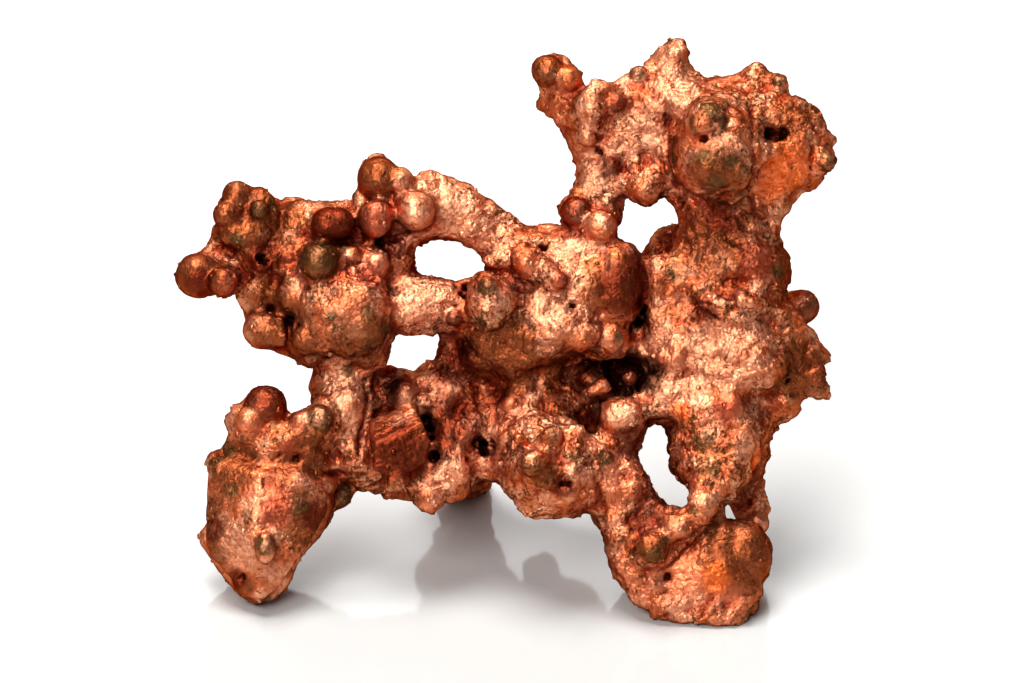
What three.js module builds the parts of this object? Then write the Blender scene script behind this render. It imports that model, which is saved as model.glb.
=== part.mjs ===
// A nugget of native copper, in millimetres, +Z up, standing on three worn feet.
// Every place below is given as someone in front of the nugget sees it when looking a little down on it:
// across (to the right), depth (away from the eye) and up the view. The whole is then leaned back by
// viewLean, so that its feet stand level on the floor.
import * as THREE from "three";
import { ImprovedNoise } from "three/addons/math/ImprovedNoise.js";

const viewLean = THREE.MathUtils.degToRad(27);
const gridStep = 0.5;
const triangleBudget = 9600;
const solePatch = 0.07;

const massBlend = 1.3;
const limbBlend = 0.9;
const beadBlend = 0.3;
const blockBlend = 0.45;
const pitBlend = 0.35;
const gapBlend = 0.2;
const gapDepths = [-9, 12];
const gapRounding = 0.2;
const farDistance = 6;

const crumpleHeight = 0.34;
const crumpleSize = 2.6;
const wrinkleHeight = 0.2;
const wrinkleSize = 1.3;
const wrinkleShift = 7;

const noduleCount = 150;
const noduleRadius = [0.4, 0.95];
const noduleSink = 0.45;
const noduleSeed = 29;
const noduleGapShare = 0.6;
const noduleGapRoom = 0.2;
const settlingSteps = 5;
const settledWithin = 0.1;

const slopeNudge = 0.05;
const cornerMargin = 0.08;
const flattestSolve = 1e-7;
const lengthPenalty = 2e-4;
const smallestFace = 0.004;
const leastAgreement = 0.3;

const copperColour = 0xc06a3c;
const copperRoughness = 0.34;
const copperMetalness = 1;

const solids = [];
const hollows = [];

// The distance from a point to an ellipsoid, near enough for joining lumps.
function ellipsoidDistance(x, y, z, radii) {
  const a = Math.hypot(x / radii[0], y / radii[1], z / radii[2]);
  const b = Math.hypot(x / radii[0] ** 2, y / radii[1] ** 2, z / radii[2] ** 2);
  return b === 0 ? -Math.min(...radii) : (a * (a - 1)) / b;
}

function ball(across, depth, up, radius, blend = beadBlend) {
  return {
    centre: [across, depth, up],
    reach: radius,
    blend,
    distance: (x, y, z) => Math.hypot(x - across, y - depth, z - up) - radius,
  };
}

// An ellipsoid; turn is in degrees, counter-clockwise in the view.
function lump(centre, radii, turn = 0, blend = massBlend) {
  const cosTurn = Math.cos(THREE.MathUtils.degToRad(turn));
  const sinTurn = Math.sin(THREE.MathUtils.degToRad(turn));
  return {
    centre,
    reach: Math.max(...radii),
    blend,
    distance: (x, y, z) => {
      const across = x - centre[0];
      const up = z - centre[2];
      return ellipsoidDistance(
        across * cosTurn + up * sinTurn,
        y - centre[1],
        up * cosTurn - across * sinTurn,
        radii,
      );
    },
  };
}

// A limb with round ends; each end is [across, depth, up, radius].
function limb(start, end, blend = limbBlend) {
  const run = [end[0] - start[0], end[1] - start[1], end[2] - start[2]];
  const runSquared = run[0] ** 2 + run[1] ** 2 + run[2] ** 2;
  return {
    centre: [start[0] + run[0] / 2, start[1] + run[1] / 2, start[2] + run[2] / 2],
    reach: Math.sqrt(runSquared) / 2 + Math.max(start[3], end[3]),
    blend,
    distance: (x, y, z) => {
      const across = x - start[0];
      const depth = y - start[1];
      const up = z - start[2];
      const along = THREE.MathUtils.clamp(
        (across * run[0] + depth * run[1] + up * run[2]) / runSquared,
        0,
        1,
      );
      const radius = start[3] + (end[3] - start[3]) * along;
      return Math.hypot(across - run[0] * along, depth - run[1] * along, up - run[2] * along) - radius;
    },
  };
}

// A run of limbs through a list of [across, depth, up, radius] places.
function limbs(places, blend = limbBlend) {
  return places.slice(1).map((place, index) => limb(places[index], place, blend));
}

// A flat-sided crystal lump, turned about the depth, up and across directions in degrees.
function block(centre, halves, turns, rounding = 0.25, blend = blockBlend) {
  const turned = new THREE.Matrix4()
    .makeRotationFromEuler(
      new THREE.Euler(
        THREE.MathUtils.degToRad(turns[2]),
        THREE.MathUtils.degToRad(turns[0]),
        THREE.MathUtils.degToRad(turns[1]),
      ),
    )
    .transpose().elements;
  return {
    centre,
    reach: Math.hypot(...halves),
    blend,
    distance: (x, y, z) => {
      const dx = x - centre[0];
      const dy = y - centre[1];
      const dz = z - centre[2];
      const a = Math.abs(turned[0] * dx + turned[4] * dy + turned[8] * dz) - halves[0] + rounding;
      const b = Math.abs(turned[1] * dx + turned[5] * dy + turned[9] * dz) - halves[1] + rounding;
      const c = Math.abs(turned[2] * dx + turned[6] * dy + turned[10] * dz) - halves[2] + rounding;
      const outside = Math.hypot(Math.max(a, 0), Math.max(b, 0), Math.max(c, 0));
      return outside + Math.min(Math.max(a, b, c), 0) - rounding;
    },
  };
}

// The signed distance from a place in the view to the edge of a flat outline.
function outlineDistance(across, up, outline) {
  let nearest = Infinity;
  let inside = false;
  for (let index = 0; index < outline.length; index += 1) {
    const a = outline[index];
    const b = outline[(index + 1) % outline.length];
    const edgeX = b[0] - a[0];
    const edgeY = b[1] - a[1];
    const along = THREE.MathUtils.clamp(
      ((across - a[0]) * edgeX + (up - a[1]) * edgeY) / (edgeX ** 2 + edgeY ** 2),
      0,
      1,
    );
    const gap = Math.hypot(across - a[0] - edgeX * along, up - a[1] - edgeY * along);
    nearest = Math.min(nearest, gap);
    const crosses = a[1] > up !== b[1] > up;
    if (crosses && across < a[0] + (edgeX * (up - a[1])) / edgeY) inside = !inside;
  }
  return inside ? -nearest : nearest;
}

// A plate with the given outline in the view, between a front and a back depth.
// Each facet is [across, depth, up of a point on it, then across, depth, up of its outward direction].
function slab(outline, front, back, rounding, facets = [], blend = blockBlend) {
  const acrosses = outline.map((point) => point[0]);
  const ups = outline.map((point) => point[1]);
  const low = [Math.min(...acrosses), front, Math.min(...ups)];
  const high = [Math.max(...acrosses), back, Math.max(...ups)];
  const middle = (front + back) / 2;
  const half = (back - front) / 2;
  const planes = facets.map((facet) => {
    const length = Math.hypot(facet[3], facet[4], facet[5]);
    return [...facet.slice(0, 3), facet[3] / length, facet[4] / length, facet[5] / length];
  });
  return {
    centre: [(low[0] + high[0]) / 2, middle, (low[2] + high[2]) / 2],
    reach: Math.hypot(high[0] - low[0], high[1] - low[1], high[2] - low[2]) / 2,
    blend,
    distance: (x, y, z) => {
      const rim = outlineDistance(x, z, outline) + rounding;
      const face = Math.abs(y - middle) - half + rounding;
      const outside = Math.hypot(Math.max(rim, 0), Math.max(face, 0));
      let distance = outside + Math.min(Math.max(rim, face), 0) - rounding;
      for (const plane of planes) {
        const over =
          (x - plane[0]) * plane[3] + (y - plane[1]) * plane[4] + (z - plane[2]) * plane[5];
        distance = -smoothMin(-distance, -over, rounding);
      }
      return distance;
    },
  };
}

function smoothMin(a, b, blend) {
  const closeness = Math.max(blend - Math.abs(a - b), 0) / blend;
  return Math.min(a, b) - (closeness * closeness * blend) / 4;
}

// The upper-left mass with its ring of beads.
solids.push(
  lump([-11.2, 3.4, 20.8], [4.4, 3.2, 3.9]),
  lump([-10.2, 1.0, 19.6], [3.3, 2.5, 3.0]),
  lump([-13.4, 3.4, 23.8], [2.9, 2.5, 2.3]),
  lump([-13.6, 3.6, 19.6], [2.6, 2.3, 2.2]),
  block([-12.5, 3.0, 25.1], [1.75, 1.7, 1.35], [4, 10, 0], 0.4, 0.7),
  lump([-9.4, 3.2, 24.9], [2.4, 2.0, 1.7]),
  lump([-8.0, 3.0, 22.8], [2.4, 2.2, 2.4]),
  ball(-16.0, 2.8, 25.0, 1.75, 0.7),
  ball(-16.8, 2.4, 26.8, 0.95),
  ball(-15.3, 1.9, 26.6, 0.85),
  ball(-15.5, 1.2, 25.9, 0.75),
  ball(-17.35, 1.8, 25.8, 0.98),
  limb([-17.0, 2.5, 25.0, 0.8], [-18.7, 2.4, 24.7, 0.38], 0.4),
  ball(-18.4, 2.2, 23.5, 0.5),
  limb([-15.6, 3.0, 23.0, 1.5], [-18.6, 2.8, 22.1, 0.95], 0.5),
  ball(-19.1, 2.8, 21.95, 1.5),
  ball(-17.85, 1.2, 21.5, 1.1),
  ball(-15.4, 1.3, 22.7, 0.75),
  ball(-15.4, 2.4, 20.8, 1.5, 0.6),
  block([-14.9, 2.6, 18.75], [1.25, 1.7, 1.25], [3, 14, 5], 0.35, 0.6),
  lump([-10.9, 0.9, 25.2], [1.35, 1.15, 1.0], 0, beadBlend),
  ball(-8.4, 1.1, 25.6, 1.15),
  ball(-9.3, 2.2, 26.8, 0.42),
  ball(-8.15, 2.6, 27.95, 1.3),
  ball(-6.9, 2.2, 27.6, 0.9),
  ball(-11.7, -0.1, 22.9, 1.3),
  ball(-9.9, 0.4, 23.1, 0.7),
  ball(-8.3, 0.9, 22.5, 0.9),
  ball(-13.2, 1.5, 18.2, 1.2, 0.4),
  ball(-12.4, 1.7, 17.2, 1.0, 0.4),
  ball(-9.8, 0.5, 17.9, 1.2, 0.4),
  ball(-8.3, 1.5, 17.1, 1.05, 0.4),
  lump([-9.6, -0.9, 20.3], [1.9, 0.8, 0.9], 18, 0.4),
);

// The two limbs that cross from the upper-left mass to the middle.
solids.push(
  ...limbs([
    [-7.6, 3.2, 26.0, 1.4],
    [-5.8, 3.0, 26.0, 1.75],
    [-4.0, 3.0, 26.0, 1.8],
    [-2.1, 3.0, 25.3, 1.55],
    [-0.6, 3.0, 24.35, 1.4],
    [1.4, 3.2, 23.2, 1.25],
  ]),
  ball(-5.6, 1.5, 26.0, 1.3),
  ...limbs([
    [-8.0, 2.8, 20.6, 1.8],
    [-5.2, 2.4, 20.2, 1.75],
    [-3.0, 2.4, 20.1, 1.6],
    [-0.8, 2.6, 20.0, 1.8],
  ]),
  lump([-5.2, 1.6, 19.8], [1.7, 1.4, 1.5], 0, 0.6),
  ball(-3.3, 0.6, 19.2, 0.6),
);

// The middle mass, with a nose knob that stands out towards the eye.
solids.push(
  lump([4.0, 3.4, 20.6], [4.6, 3.8, 4.2]),
  lump([0.6, 2.8, 18.6], [3.1, 3.0, 3.2]),
  lump([-0.8, 1.7, 17.3], [1.9, 1.7, 1.9], 0, 0.7),
  limb([-0.4, 2.0, 19.8, 1.7], [-1.2, -0.6, 20.2, 1.4], 0.5),
  lump([-1.2, -1.0, 20.2], [1.45, 1.5, 1.75], 0, 0.4),
  ball(-1.3, -2.1, 21.1, 0.75),
  ball(1.2, 0.1, 22.8, 0.95),
  ball(2.0, -0.5, 22.1, 0.65),
  ball(3.1, -0.7, 21.6, 0.65),
  lump([6.4, 2.6, 21.5], [2.5, 2.6, 2.7], 0, 0.6),
  lump([3.0, 0.6, 18.6], [2.4, 1.7, 1.9], 15, 0.6),
  ball(6.3, 2.2, 17.9, 1.7, 0.5),
  ball(4.3, 2.4, 25.9, 0.95),
  ball(-0.7, 3.0, 22.9, 1.0, 0.5),
  lump([1.6, 3.2, 23.5], [1.9, 1.9, 1.2], 0, 0.7),
);

// What hangs under the middle mass: dark lumps, a faceted block and a low band.
solids.push(
  lump([-10.1, 3.8, 14.2], [2.2, 2.6, 3.2]),
  lump([-9.2, 4.6, 10.8], [1.9, 3.0, 2.1]),
  block([-6.6, 1.9, 11.2], [1.65, 1.6, 1.6], [-6, 24, 8], 0.2),
  limb([-9.6, 6.2, 9.6, 1.15], [-6.2, 6.0, 9.1, 1.05]),
  block([-6.4, 3.0, 14.3], [1.4, 1.3, 0.9], [-14, 20, 0], 0.25),
  ball(-5.1, 2.0, 8.7, 1.2),
  ball(-3.4, 2.2, 9.0, 1.2),
  limb([-3.4, 2.4, 9.2, 1.0], [-2.7, 2.2, 10.6, 0.75]),
  limb([-4.0, 2.2, 10.4, 0.8], [-4.1, 2.2, 13.6, 0.8]),
  ball(-4.6, 2.4, 13.8, 0.8),
  limb([-3.9, 3.4, 15.0, 1.3], [-3.3, 3.4, 17.4, 1.3]),
  ball(-2.2, 2.2, 12.7, 1.15, 0.5),
  lump([-0.6, 3.4, 10.4], [1.5, 2.2, 1.5]),
  lump([-7.0, 4.0, 15.2], [1.9, 1.6, 1.3], 0, 0.6),
  lump([-1.6, 4.6, 13.6], [3.4, 2.0, 2.9]),
  lump([-5.2, 5.0, 12.4], [3.6, 1.6, 2.6]),
  ball(-0.2, 1.3, 11.7, 0.45),
  ball(0.2, 1.5, 13.9, 0.8),
  lump([1.8, 3.2, 13.9], [2.6, 2.3, 2.4]),
  lump([2.9, 1.0, 9.8], [3.7, 3.2, 3.0], -12),
  lump([2.7, -1.6, 11.7], [0.85, 0.7, 0.6], 0, beadBlend),
  ball(1.4, -1.8, 10.2, 0.95),
  ball(4.1, -1.9, 10.5, 0.6),
  ball(6.0, 0.2, 10.7, 0.6),
  limb([4.1, -1.4, 10.5, 0.5], [4.2, -0.6, 12.4, 0.4], 0.3),
  ball(7.2, 1.0, 12.9, 1.45, 0.5),
  limb([7.2, 1.2, 12.6, 1.2], [7.2, 1.8, 10.6, 1.05]),
  ball(5.8, 1.6, 14.9, 0.55),
  ball(7.6, 2.6, 15.4, 0.6),
  lump([7.2, 5.6, 16.4], [2.6, 1.6, 2.8]),
  lump([5.0, 5.0, 14.6], [2.4, 2.0, 2.4]),
);

// The left leg, a flat-faced slab that comes down to a blunt point.
const leftLegOutline = [
  [-19.3, 10.6],
  [-18.5, 9.1],
  [-18.4, 7.0],
  [-19.3, 5.3],
  [-18.4, 4.3],
  [-17.7, 3.2],
  [-16.6, 2.0],
  [-15.8, 1.0],
  [-14.9, 1.0],
  [-14.3, 2.0],
  [-13.7, 2.6],
  [-13.3, 4.1],
  [-12.4, 4.9],
  [-11.6, 5.7],
  [-11.0, 7.3],
  [-11.0, 9.0],
  [-11.2, 12.4],
  [-13.0, 12.9],
  [-16.9, 12.1],
  [-17.4, 11.2],
];
solids.push(
  slab(leftLegOutline, 0.4, 6.6, 0.5, [
    [-16.2, 0.9, 8.0, -0.62, -0.78, 0.05],
    [-13.0, 0.8, 7.0, 0.55, -0.83, -0.08],
    [-15.0, 0.6, 4.0, 0.02, -0.96, -0.22],
    [-15.0, 6.0, 8.0, -0.25, 0.95, 0.1],
    [-15.0, 5.6, 4.0, 0.1, 0.9, -0.42],
  ]),
  ball(-15.1, 2.8, 13.75, 1.3),
  ball(-15.9, 2.1, 12.9, 0.95),
  ball(-16.9, 2.6, 13.0, 0.5),
  ball(-16.5, 2.4, 11.9, 0.8),
  ball(-17.3, 2.6, 11.2, 0.55),
  ball(-14.6, 1.7, 12.3, 0.5),
  ball(-13.0, 2.0, 12.6, 0.9),
  ball(-11.7, 1.5, 13.0, 1.05),
  lump([-15.1, 0.7, 5.0], [0.75, 0.6, 1.1], -8, beadBlend),
);

// The right leg and its foot.
const footOutline = [
  [5.2, 7.4],
  [5.8, 5.9],
  [6.5, 4.1],
  [7.0, 2.8],
  [7.8, 1.7],
  [9.2, 0.4],
  [11.2, 0.0],
  [12.6, -0.6],
  [14.3, -1.0],
  [15.1, -0.4],
  [15.7, 2.2],
  [15.6, 3.9],
  [15.1, 5.4],
  [13.6, 6.8],
  [12.2, 6.5],
  [10.6, 7.4],
  [9.3, 8.0],
  [8.7, 9.4],
  [7.9, 10.6],
  [6.0, 10.8],
];
solids.push(
  slab(footOutline, -0.5, 5.2, 1.0, [], 0.8),
  lump([13.5, 1.6, 4.0], [2.2, 2.6, 2.5], 0, 0.5),
  lump([8.6, 1.4, 4.6], [2.0, 2.0, 2.4], 30, 0.7),
  lump([7.0, 2.0, 8.4], [1.8, 2.0, 2.4], 0, 0.8),
  ...limbs(
    [
      [13.2, 1.8, 11.6, 2.7],
      [13.1, 0.9, 9.9, 1.9],
      [12.4, -0.3, 8.2, 1.1],
      [11.9, -0.7, 7.4, 0.85],
      [10.6, -1.0, 6.3, 0.65],
      [9.3, -1.0, 5.2, 0.6],
    ],
    0.5,
  ),
  ball(9.0, -0.8, 4.9, 1.1),
);

// The thin slab that hangs behind the foot and ends in a bead.
const rearSlabOutline = [
  [13.4, 13.0],
  [16.9, 12.6],
  [16.3, 11.4],
  [16.6, 10.7],
  [16.1, 9.2],
  [16.1, 7.2],
  [15.7, 6.0],
  [14.6, 6.1],
  [13.9, 7.3],
  [13.8, 8.4],
  [13.2, 10.4],
];
solids.push(slab(rearSlabOutline, 5.6, 8.0, 0.4), ball(15.6, 6.6, 6.4, 0.8));

// The rear leg and the low mass it grows from, hidden from the front but seen in the floor's reflection.
solids.push(
  lump([-1.5, 8.4, 12.6], [4.6, 3.6, 3.6]),
  lump([3.2, 7.6, 11.2], [3.2, 3.2, 3.2]),
  ...limbs([
    [-1.8, 9.0, 12.6, 2.6],
    [-2.6, 13.0, 10.6, 1.9],
    [-2.9, 16.3, 8.7, 1.45],
  ]),
  lump([-2.8, 16.2, 8.8], [1.7, 1.5, 1.4], 0, 0.7),
  ball(2.1, 11.0, 9.3, 1.1),
  ball(-4.4, 11.6, 11.4, 1.2),
);

// The right column, from the waist to the neck.
solids.push(
  lump([13.8, 3.7, 17.4], [4.6, 3.8, 5.2]),
  lump([17.0, 3.4, 16.8], [2.7, 2.3, 2.3]),
  lump([13.2, 3.2, 12.8], [3.3, 2.7, 2.4]),
  lump([12.5, 2.6, 11.0], [2.7, 2.3, 2.7]),
  lump([13.9, 3.4, 22.2], [3.7, 3.1, 2.6]),
  lump([13.6, 3.4, 25.2], [3.0, 2.8, 2.4]),
  ball(16.9, 3.4, 22.3, 1.0, 0.6),
  ball(9.9, 1.9, 14.3, 1.75, 0.6),
  ball(9.7, 2.2, 21.8, 1.6, 0.6),
  lump([9.8, 3.4, 18.6], [1.9, 2.4, 2.6], 0, 0.9),
  ball(9.5, 5.8, 24.1, 1.5, 0.5),
  limb([9.8, 5.0, 23.4, 1.5], [12.0, 4.6, 22.4, 1.8]),
  ball(13.9, -0.1, 13.6, 0.8),
  ball(12.3, 0.3, 11.7, 0.95),
  limb([10.9, 0.6, 13.4, 0.5], [12.4, 0.2, 13.9, 0.5], 0.4),
  limb([12.2, -0.2, 20.0, 0.45], [15.0, 0.2, 19.9, 0.5], 0.4),
  ball(10.3, 0.9, 17.0, 0.9, 0.4),
  lump([14.6, 0.6, 16.4], [2.2, 1.3, 2.0], 20, 0.6),
  lump([14.2, 1.4, 22.9], [2.6, 1.4, 0.9], 4, 0.5),
  ball(18.2, 7.0, 19.9, 1.1),
  limb([17.0, 5.6, 19.4, 1.4], [18.3, 6.9, 19.9, 0.9], 0.5),
  limb([18.4, 3.4, 17.3, 1.2], [19.7, 3.2, 16.8, 0.5], 0.4),
  ...limbs(
    [
      [18.4, 3.0, 15.2, 0.6],
      [19.3, 2.9, 15.25, 0.4],
      [19.6, 2.9, 14.8, 0.36],
      [19.45, 2.9, 14.3, 0.36],
    ],
    0.3,
  ),
  ball(16.9, 3.0, 13.6, 0.7),
  ball(17.6, 3.0, 14.5, 0.9, 0.5),
);

// The head, its two peaks and the lump on its right.
solids.push(
  lump([13.6, 3.8, 30.0], [4.5, 3.6, 3.9]),
  lump([9.6, 3.6, 31.4], [2.8, 2.4, 3.0]),
  limb([9.9, 3.4, 33.0, 2.3], [10.05, 3.2, 35.55, 1.05]),
  lump([12.4, 3.4, 32.7], [1.9, 1.8, 1.3]),
  limb([14.9, 3.4, 32.6, 1.6], [15.4, 3.2, 34.25, 0.8]),
  limb([15.6, 3.2, 34.2, 0.55], [16.8, 3.0, 34.0, 0.4], 0.3),
  lump([17.1, 3.4, 30.2], [3.0, 2.8, 3.0]),
  lump([17.9, 3.2, 28.7], [1.8, 1.9, 1.6]),
  ball(16.5, 3.4, 26.4, 1.0, 0.8),
  limb([18.8, 3.0, 30.6, 1.0], [20.3, 2.8, 30.2, 0.3], 0.4),
  ball(19.75, 2.0, 29.0, 0.8),
  lump([13.0, 0.4, 29.6], [2.8, 2.8, 3.2], 0, 0.8),
  ball(12.3, -0.9, 31.7, 1.3, 0.4),
  ball(11.7, -2.0, 31.3, 0.6),
  ball(8.2, 2.6, 34.3, 0.65),
  ball(14.6, -1.6, 28.2, 0.8, 0.4),
  limb([9.2, 1.6, 32.2, 0.7], [12.3, 1.4, 33.0, 0.7], 0.4),
);

// The thin branch on the left of the head, with its string of beads.
solids.push(
  ball(2.5, 3.2, 34.75, 1.0),
  ball(3.7, 2.8, 34.2, 0.9),
  limb([2.9, 3.2, 34.0, 0.8], [3.0, 3.2, 32.6, 0.9]),
  ball(2.4, 3.2, 32.4, 0.5),
  ball(5.2, 2.4, 32.4, 1.3),
  ball(6.7, 1.8, 32.6, 0.8),
  ball(6.3, 2.8, 32.45, 1.0),
  limb([6.9, 2.4, 33.0, 0.6], [7.1, 2.4, 33.6, 0.25], 0.3),
  lump([6.5, 3.4, 30.2], [2.5, 1.9, 2.3]),
  limb([3.7, 3.2, 32.2, 0.85], [5.3, 3.4, 30.4, 1.0]),
  ball(4.9, 1.8, 30.5, 0.7),
  lump([5.7, 3.0, 28.2], [1.3, 1.4, 1.5], 0, 0.6),
  ball(8.4, 2.8, 27.6, 1.35, 0.5),
  limb([8.4, 3.2, 28.0, 1.3], [10.8, 3.4, 28.6, 1.8]),
  limb([5.8, 3.0, 28.0, 1.15], [6.0, 2.6, 25.6, 0.95]),
  ball(5.8, 1.6, 24.9, 1.1, 0.5),
  limb([6.2, 2.8, 26.2, 0.6], [7.4, 2.8, 25.7, 0.25], 0.3),
  limb([5.4, 2.8, 26.6, 0.6], [4.4, 2.8, 27.0, 0.2], 0.3),
  ball(6.3, 1.7, 28.9, 0.6),
);

// Gaps that pass right through, given by their outlines in the view.
const throughGaps = [
  [
    [-5.8, 22.1],
    [-5.8, 23.7],
    [-5.0, 24.1],
    [-4.0, 24.3],
    [-3.0, 24.1],
    [-2.0, 23.5],
    [-1.5, 22.9],
    [-1.3, 22.2],
    [-3.0, 21.8],
    [-3.5, 21.4],
    [-4.2, 21.8],
    [-5.5, 21.9],
  ],
  [
    [-7.1, 18.4],
    [-6.6, 18.6],
    [-6.0, 18.1],
    [-4.8, 18.1],
    [-4.4, 17.3],
    [-4.7, 16.6],
    [-5.5, 16.0],
    [-6.0, 15.7],
    [-7.0, 15.9],
    [-7.6, 16.7],
    [-7.2, 17.4],
  ],
  [
    [6.9, 26.8],
    [7.2, 27.1],
    [7.7, 26.9],
    [8.4, 26.1],
    [9.6, 26.8],
    [10.1, 26.2],
    [10.5, 25.4],
    [9.9, 25.1],
    [9.1, 24.5],
    [8.7, 23.1],
    [8.0, 23.7],
    [7.2, 24.3],
    [6.7, 24.5],
    [6.9, 25.1],
    [7.4, 25.5],
    [7.3, 26.0],
  ],
  [
    [8.7, 13.1],
    [9.2, 12.9],
    [9.8, 12.2],
    [10.1, 11.5],
    [10.0, 10.6],
    [10.2, 9.8],
    [10.8, 9.1],
    [11.4, 8.6],
    [11.4, 8.1],
    [10.8, 7.5],
    [10.2, 7.4],
    [9.6, 7.8],
    [9.1, 8.4],
    [8.8, 9.3],
    [8.4, 10.0],
    [7.8, 10.8],
    [7.9, 11.3],
    [8.6, 12.0],
  ],
];
for (const outline of throughGaps) hollows.push(slab(outline, ...gapDepths, gapRounding, [], gapBlend));

// Pits, caves and undercuts.
hollows.push(
  ball(-15.0, 0.6, 23.7, 0.7, pitBlend),
  ball(-13.4, 0.9, 19.4, 0.55, pitBlend),
  ball(-14.9, 0.9, 19.9, 0.45, pitBlend),
  ball(-11.3, 0.2, 16.3, 0.6, pitBlend),
  ball(-7.4, 0.9, 20.8, 0.5, pitBlend),
  lump([-7.6, 1.0, 14.7], [0.9, 1.3, 0.8], 0, pitBlend),
  lump([-4.9, 0.6, 12.4], [0.4, 1.6, 0.9], 0, pitBlend),
  ball(-4.7, 0.9, 10.5, 0.65, pitBlend),
  lump([-1.5, 1.2, 11.3], [0.9, 1.6, 0.55], 0, pitBlend),
  lump([-1.2, 0.6, 15.7], [0.7, 1.2, 0.6], 0, pitBlend),
  lump([-3.5, 1.2, 17.7], [0.7, 1.2, 0.5], 0, pitBlend),
  lump([-2.8, 0.5, 20.9], [0.45, 1.4, 0.8], 0, pitBlend),
  ball(2.2, 0.5, 23.9, 0.6, pitBlend),
  lump([8.2, 0.8, 19.7], [0.5, 1.8, 1.1], 0, pitBlend),
  lump([7.0, 2.2, 15.9], [1.7, 2.4, 1.0], -12, pitBlend),
  lump([14.0, -0.3, 21.2], [2.0, 1.3, 0.8], 2, pitBlend),
  ball(12.3, -0.5, 19.3, 0.5, pitBlend),
  ball(10.5, -0.4, 17.1, 0.4, pitBlend),
  lump([17.5, -0.1, 28.5], [1.6, 1.5, 1.1], 10, pitBlend),
  lump([16.6, 0.0, 30.7], [0.6, 1.0, 0.5], 0, pitBlend),
  lump([12.3, -2.6, 30.3], [1.0, 0.8, 0.35], 10, pitBlend),
  lump([17.7, 1.4, 15.8], [0.35, 1.2, 0.8], 0, pitBlend),
  ball(3.7, -2.6, 8.8, 0.45, pitBlend),
  ball(9.9, -0.6, 3.1, 0.45, pitBlend),
  lump([10.4, -0.2, 20.0], [0.6, 0.9, 0.4], 0, pitBlend),
  lump([-14.4, -0.2, 7.6], [1.1, 1.3, 2.0], 10, 0.6),
);

const noise = new ImprovedNoise();

// The field at a place in the view: below zero inside the copper.
function copperField(x, y, z) {
  let distance = farDistance;
  for (const solid of solids) {
    const [across, depth, up] = solid.centre;
    const away = Math.hypot(x - across, y - depth, z - up) - solid.reach;
    if (away < distance + solid.blend) {
      distance = smoothMin(distance, solid.distance(x, y, z), solid.blend);
    }
  }
  distance += crumpleHeight * noise.noise(x / crumpleSize, y / crumpleSize, z / crumpleSize);
  distance +=
    wrinkleHeight * noise.noise(x / wrinkleSize + wrinkleShift, y / wrinkleSize, z / wrinkleSize);
  for (const hollow of hollows) {
    const [across, depth, up] = hollow.centre;
    const away = Math.hypot(x - across, y - depth, z - up) - hollow.reach;
    if (-away > distance - hollow.blend) {
      distance = -smoothMin(-distance, hollow.distance(x, y, z), hollow.blend);
    }
  }
  return distance;
}

// The direction in which the field grows fastest, which is straight out of the surface.
function outwardAt(x, y, z) {
  const slope = new THREE.Vector3(
    copperField(x + slopeNudge, y, z) - copperField(x - slopeNudge, y, z),
    copperField(x, y + slopeNudge, z) - copperField(x, y - slopeNudge, z),
    copperField(x, y, z + slopeNudge) - copperField(x, y, z - slopeNudge),
  );
  return slope.normalize();
}

// Repeatable random numbers from 0 to 1.
function randomFrom(seed) {
  const multiplier = 1664525;
  const increment = 1013904223;
  const modulus = 2 ** 32;
  let state = seed;
  return () => {
    state = (state * multiplier + increment) % modulus;
    return state / modulus;
  };
}

// Small round nodules sit half sunk all over the lumps, clear of the gaps; small ones are the most common.
function scatteredNodules() {
  const random = randomFrom(noduleSeed);
  const found = [];
  while (found.length < noduleCount) {
    const host = solids[Math.floor(random() * solids.length)];
    const place = new THREE.Vector3(random() - 0.5, random() - 0.5, random() - 0.5)
      .normalize()
      .multiplyScalar(host.reach)
      .add(new THREE.Vector3(...host.centre));
    const radius = noduleRadius[0] + (noduleRadius[1] - noduleRadius[0]) * random() ** 2;
    for (let step = 0; step < settlingSteps; step += 1) {
      place.addScaledVector(outwardAt(place.x, place.y, place.z), -copperField(place.x, place.y, place.z));
    }
    const settled = Math.abs(copperField(place.x, place.y, place.z)) < settledWithin;
    const room = radius * noduleGapShare + noduleGapRoom;
    const clear = throughGaps.every((outline) => outlineDistance(place.x, place.z, outline) > room);
    if (!settled || !clear) continue;
    place.addScaledVector(outwardAt(place.x, place.y, place.z), -radius * noduleSink);
    found.push(ball(place.x, place.y, place.z, radius));
  }
  return found;
}
solids.push(...scatteredNodules());

const cosLean = Math.cos(viewLean);
const sinLean = Math.sin(viewLean);

// The same field in the standing frame, cut off level at the floor.
function standingField(x, y, z) {
  const depth = y * cosLean - z * sinLean;
  const up = y * sinLean + z * cosLean;
  return Math.max(copperField(x, depth, up), -z);
}

const fieldLow = [-22, -4, -1];
const fieldHigh = [22, 22, 34];

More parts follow.
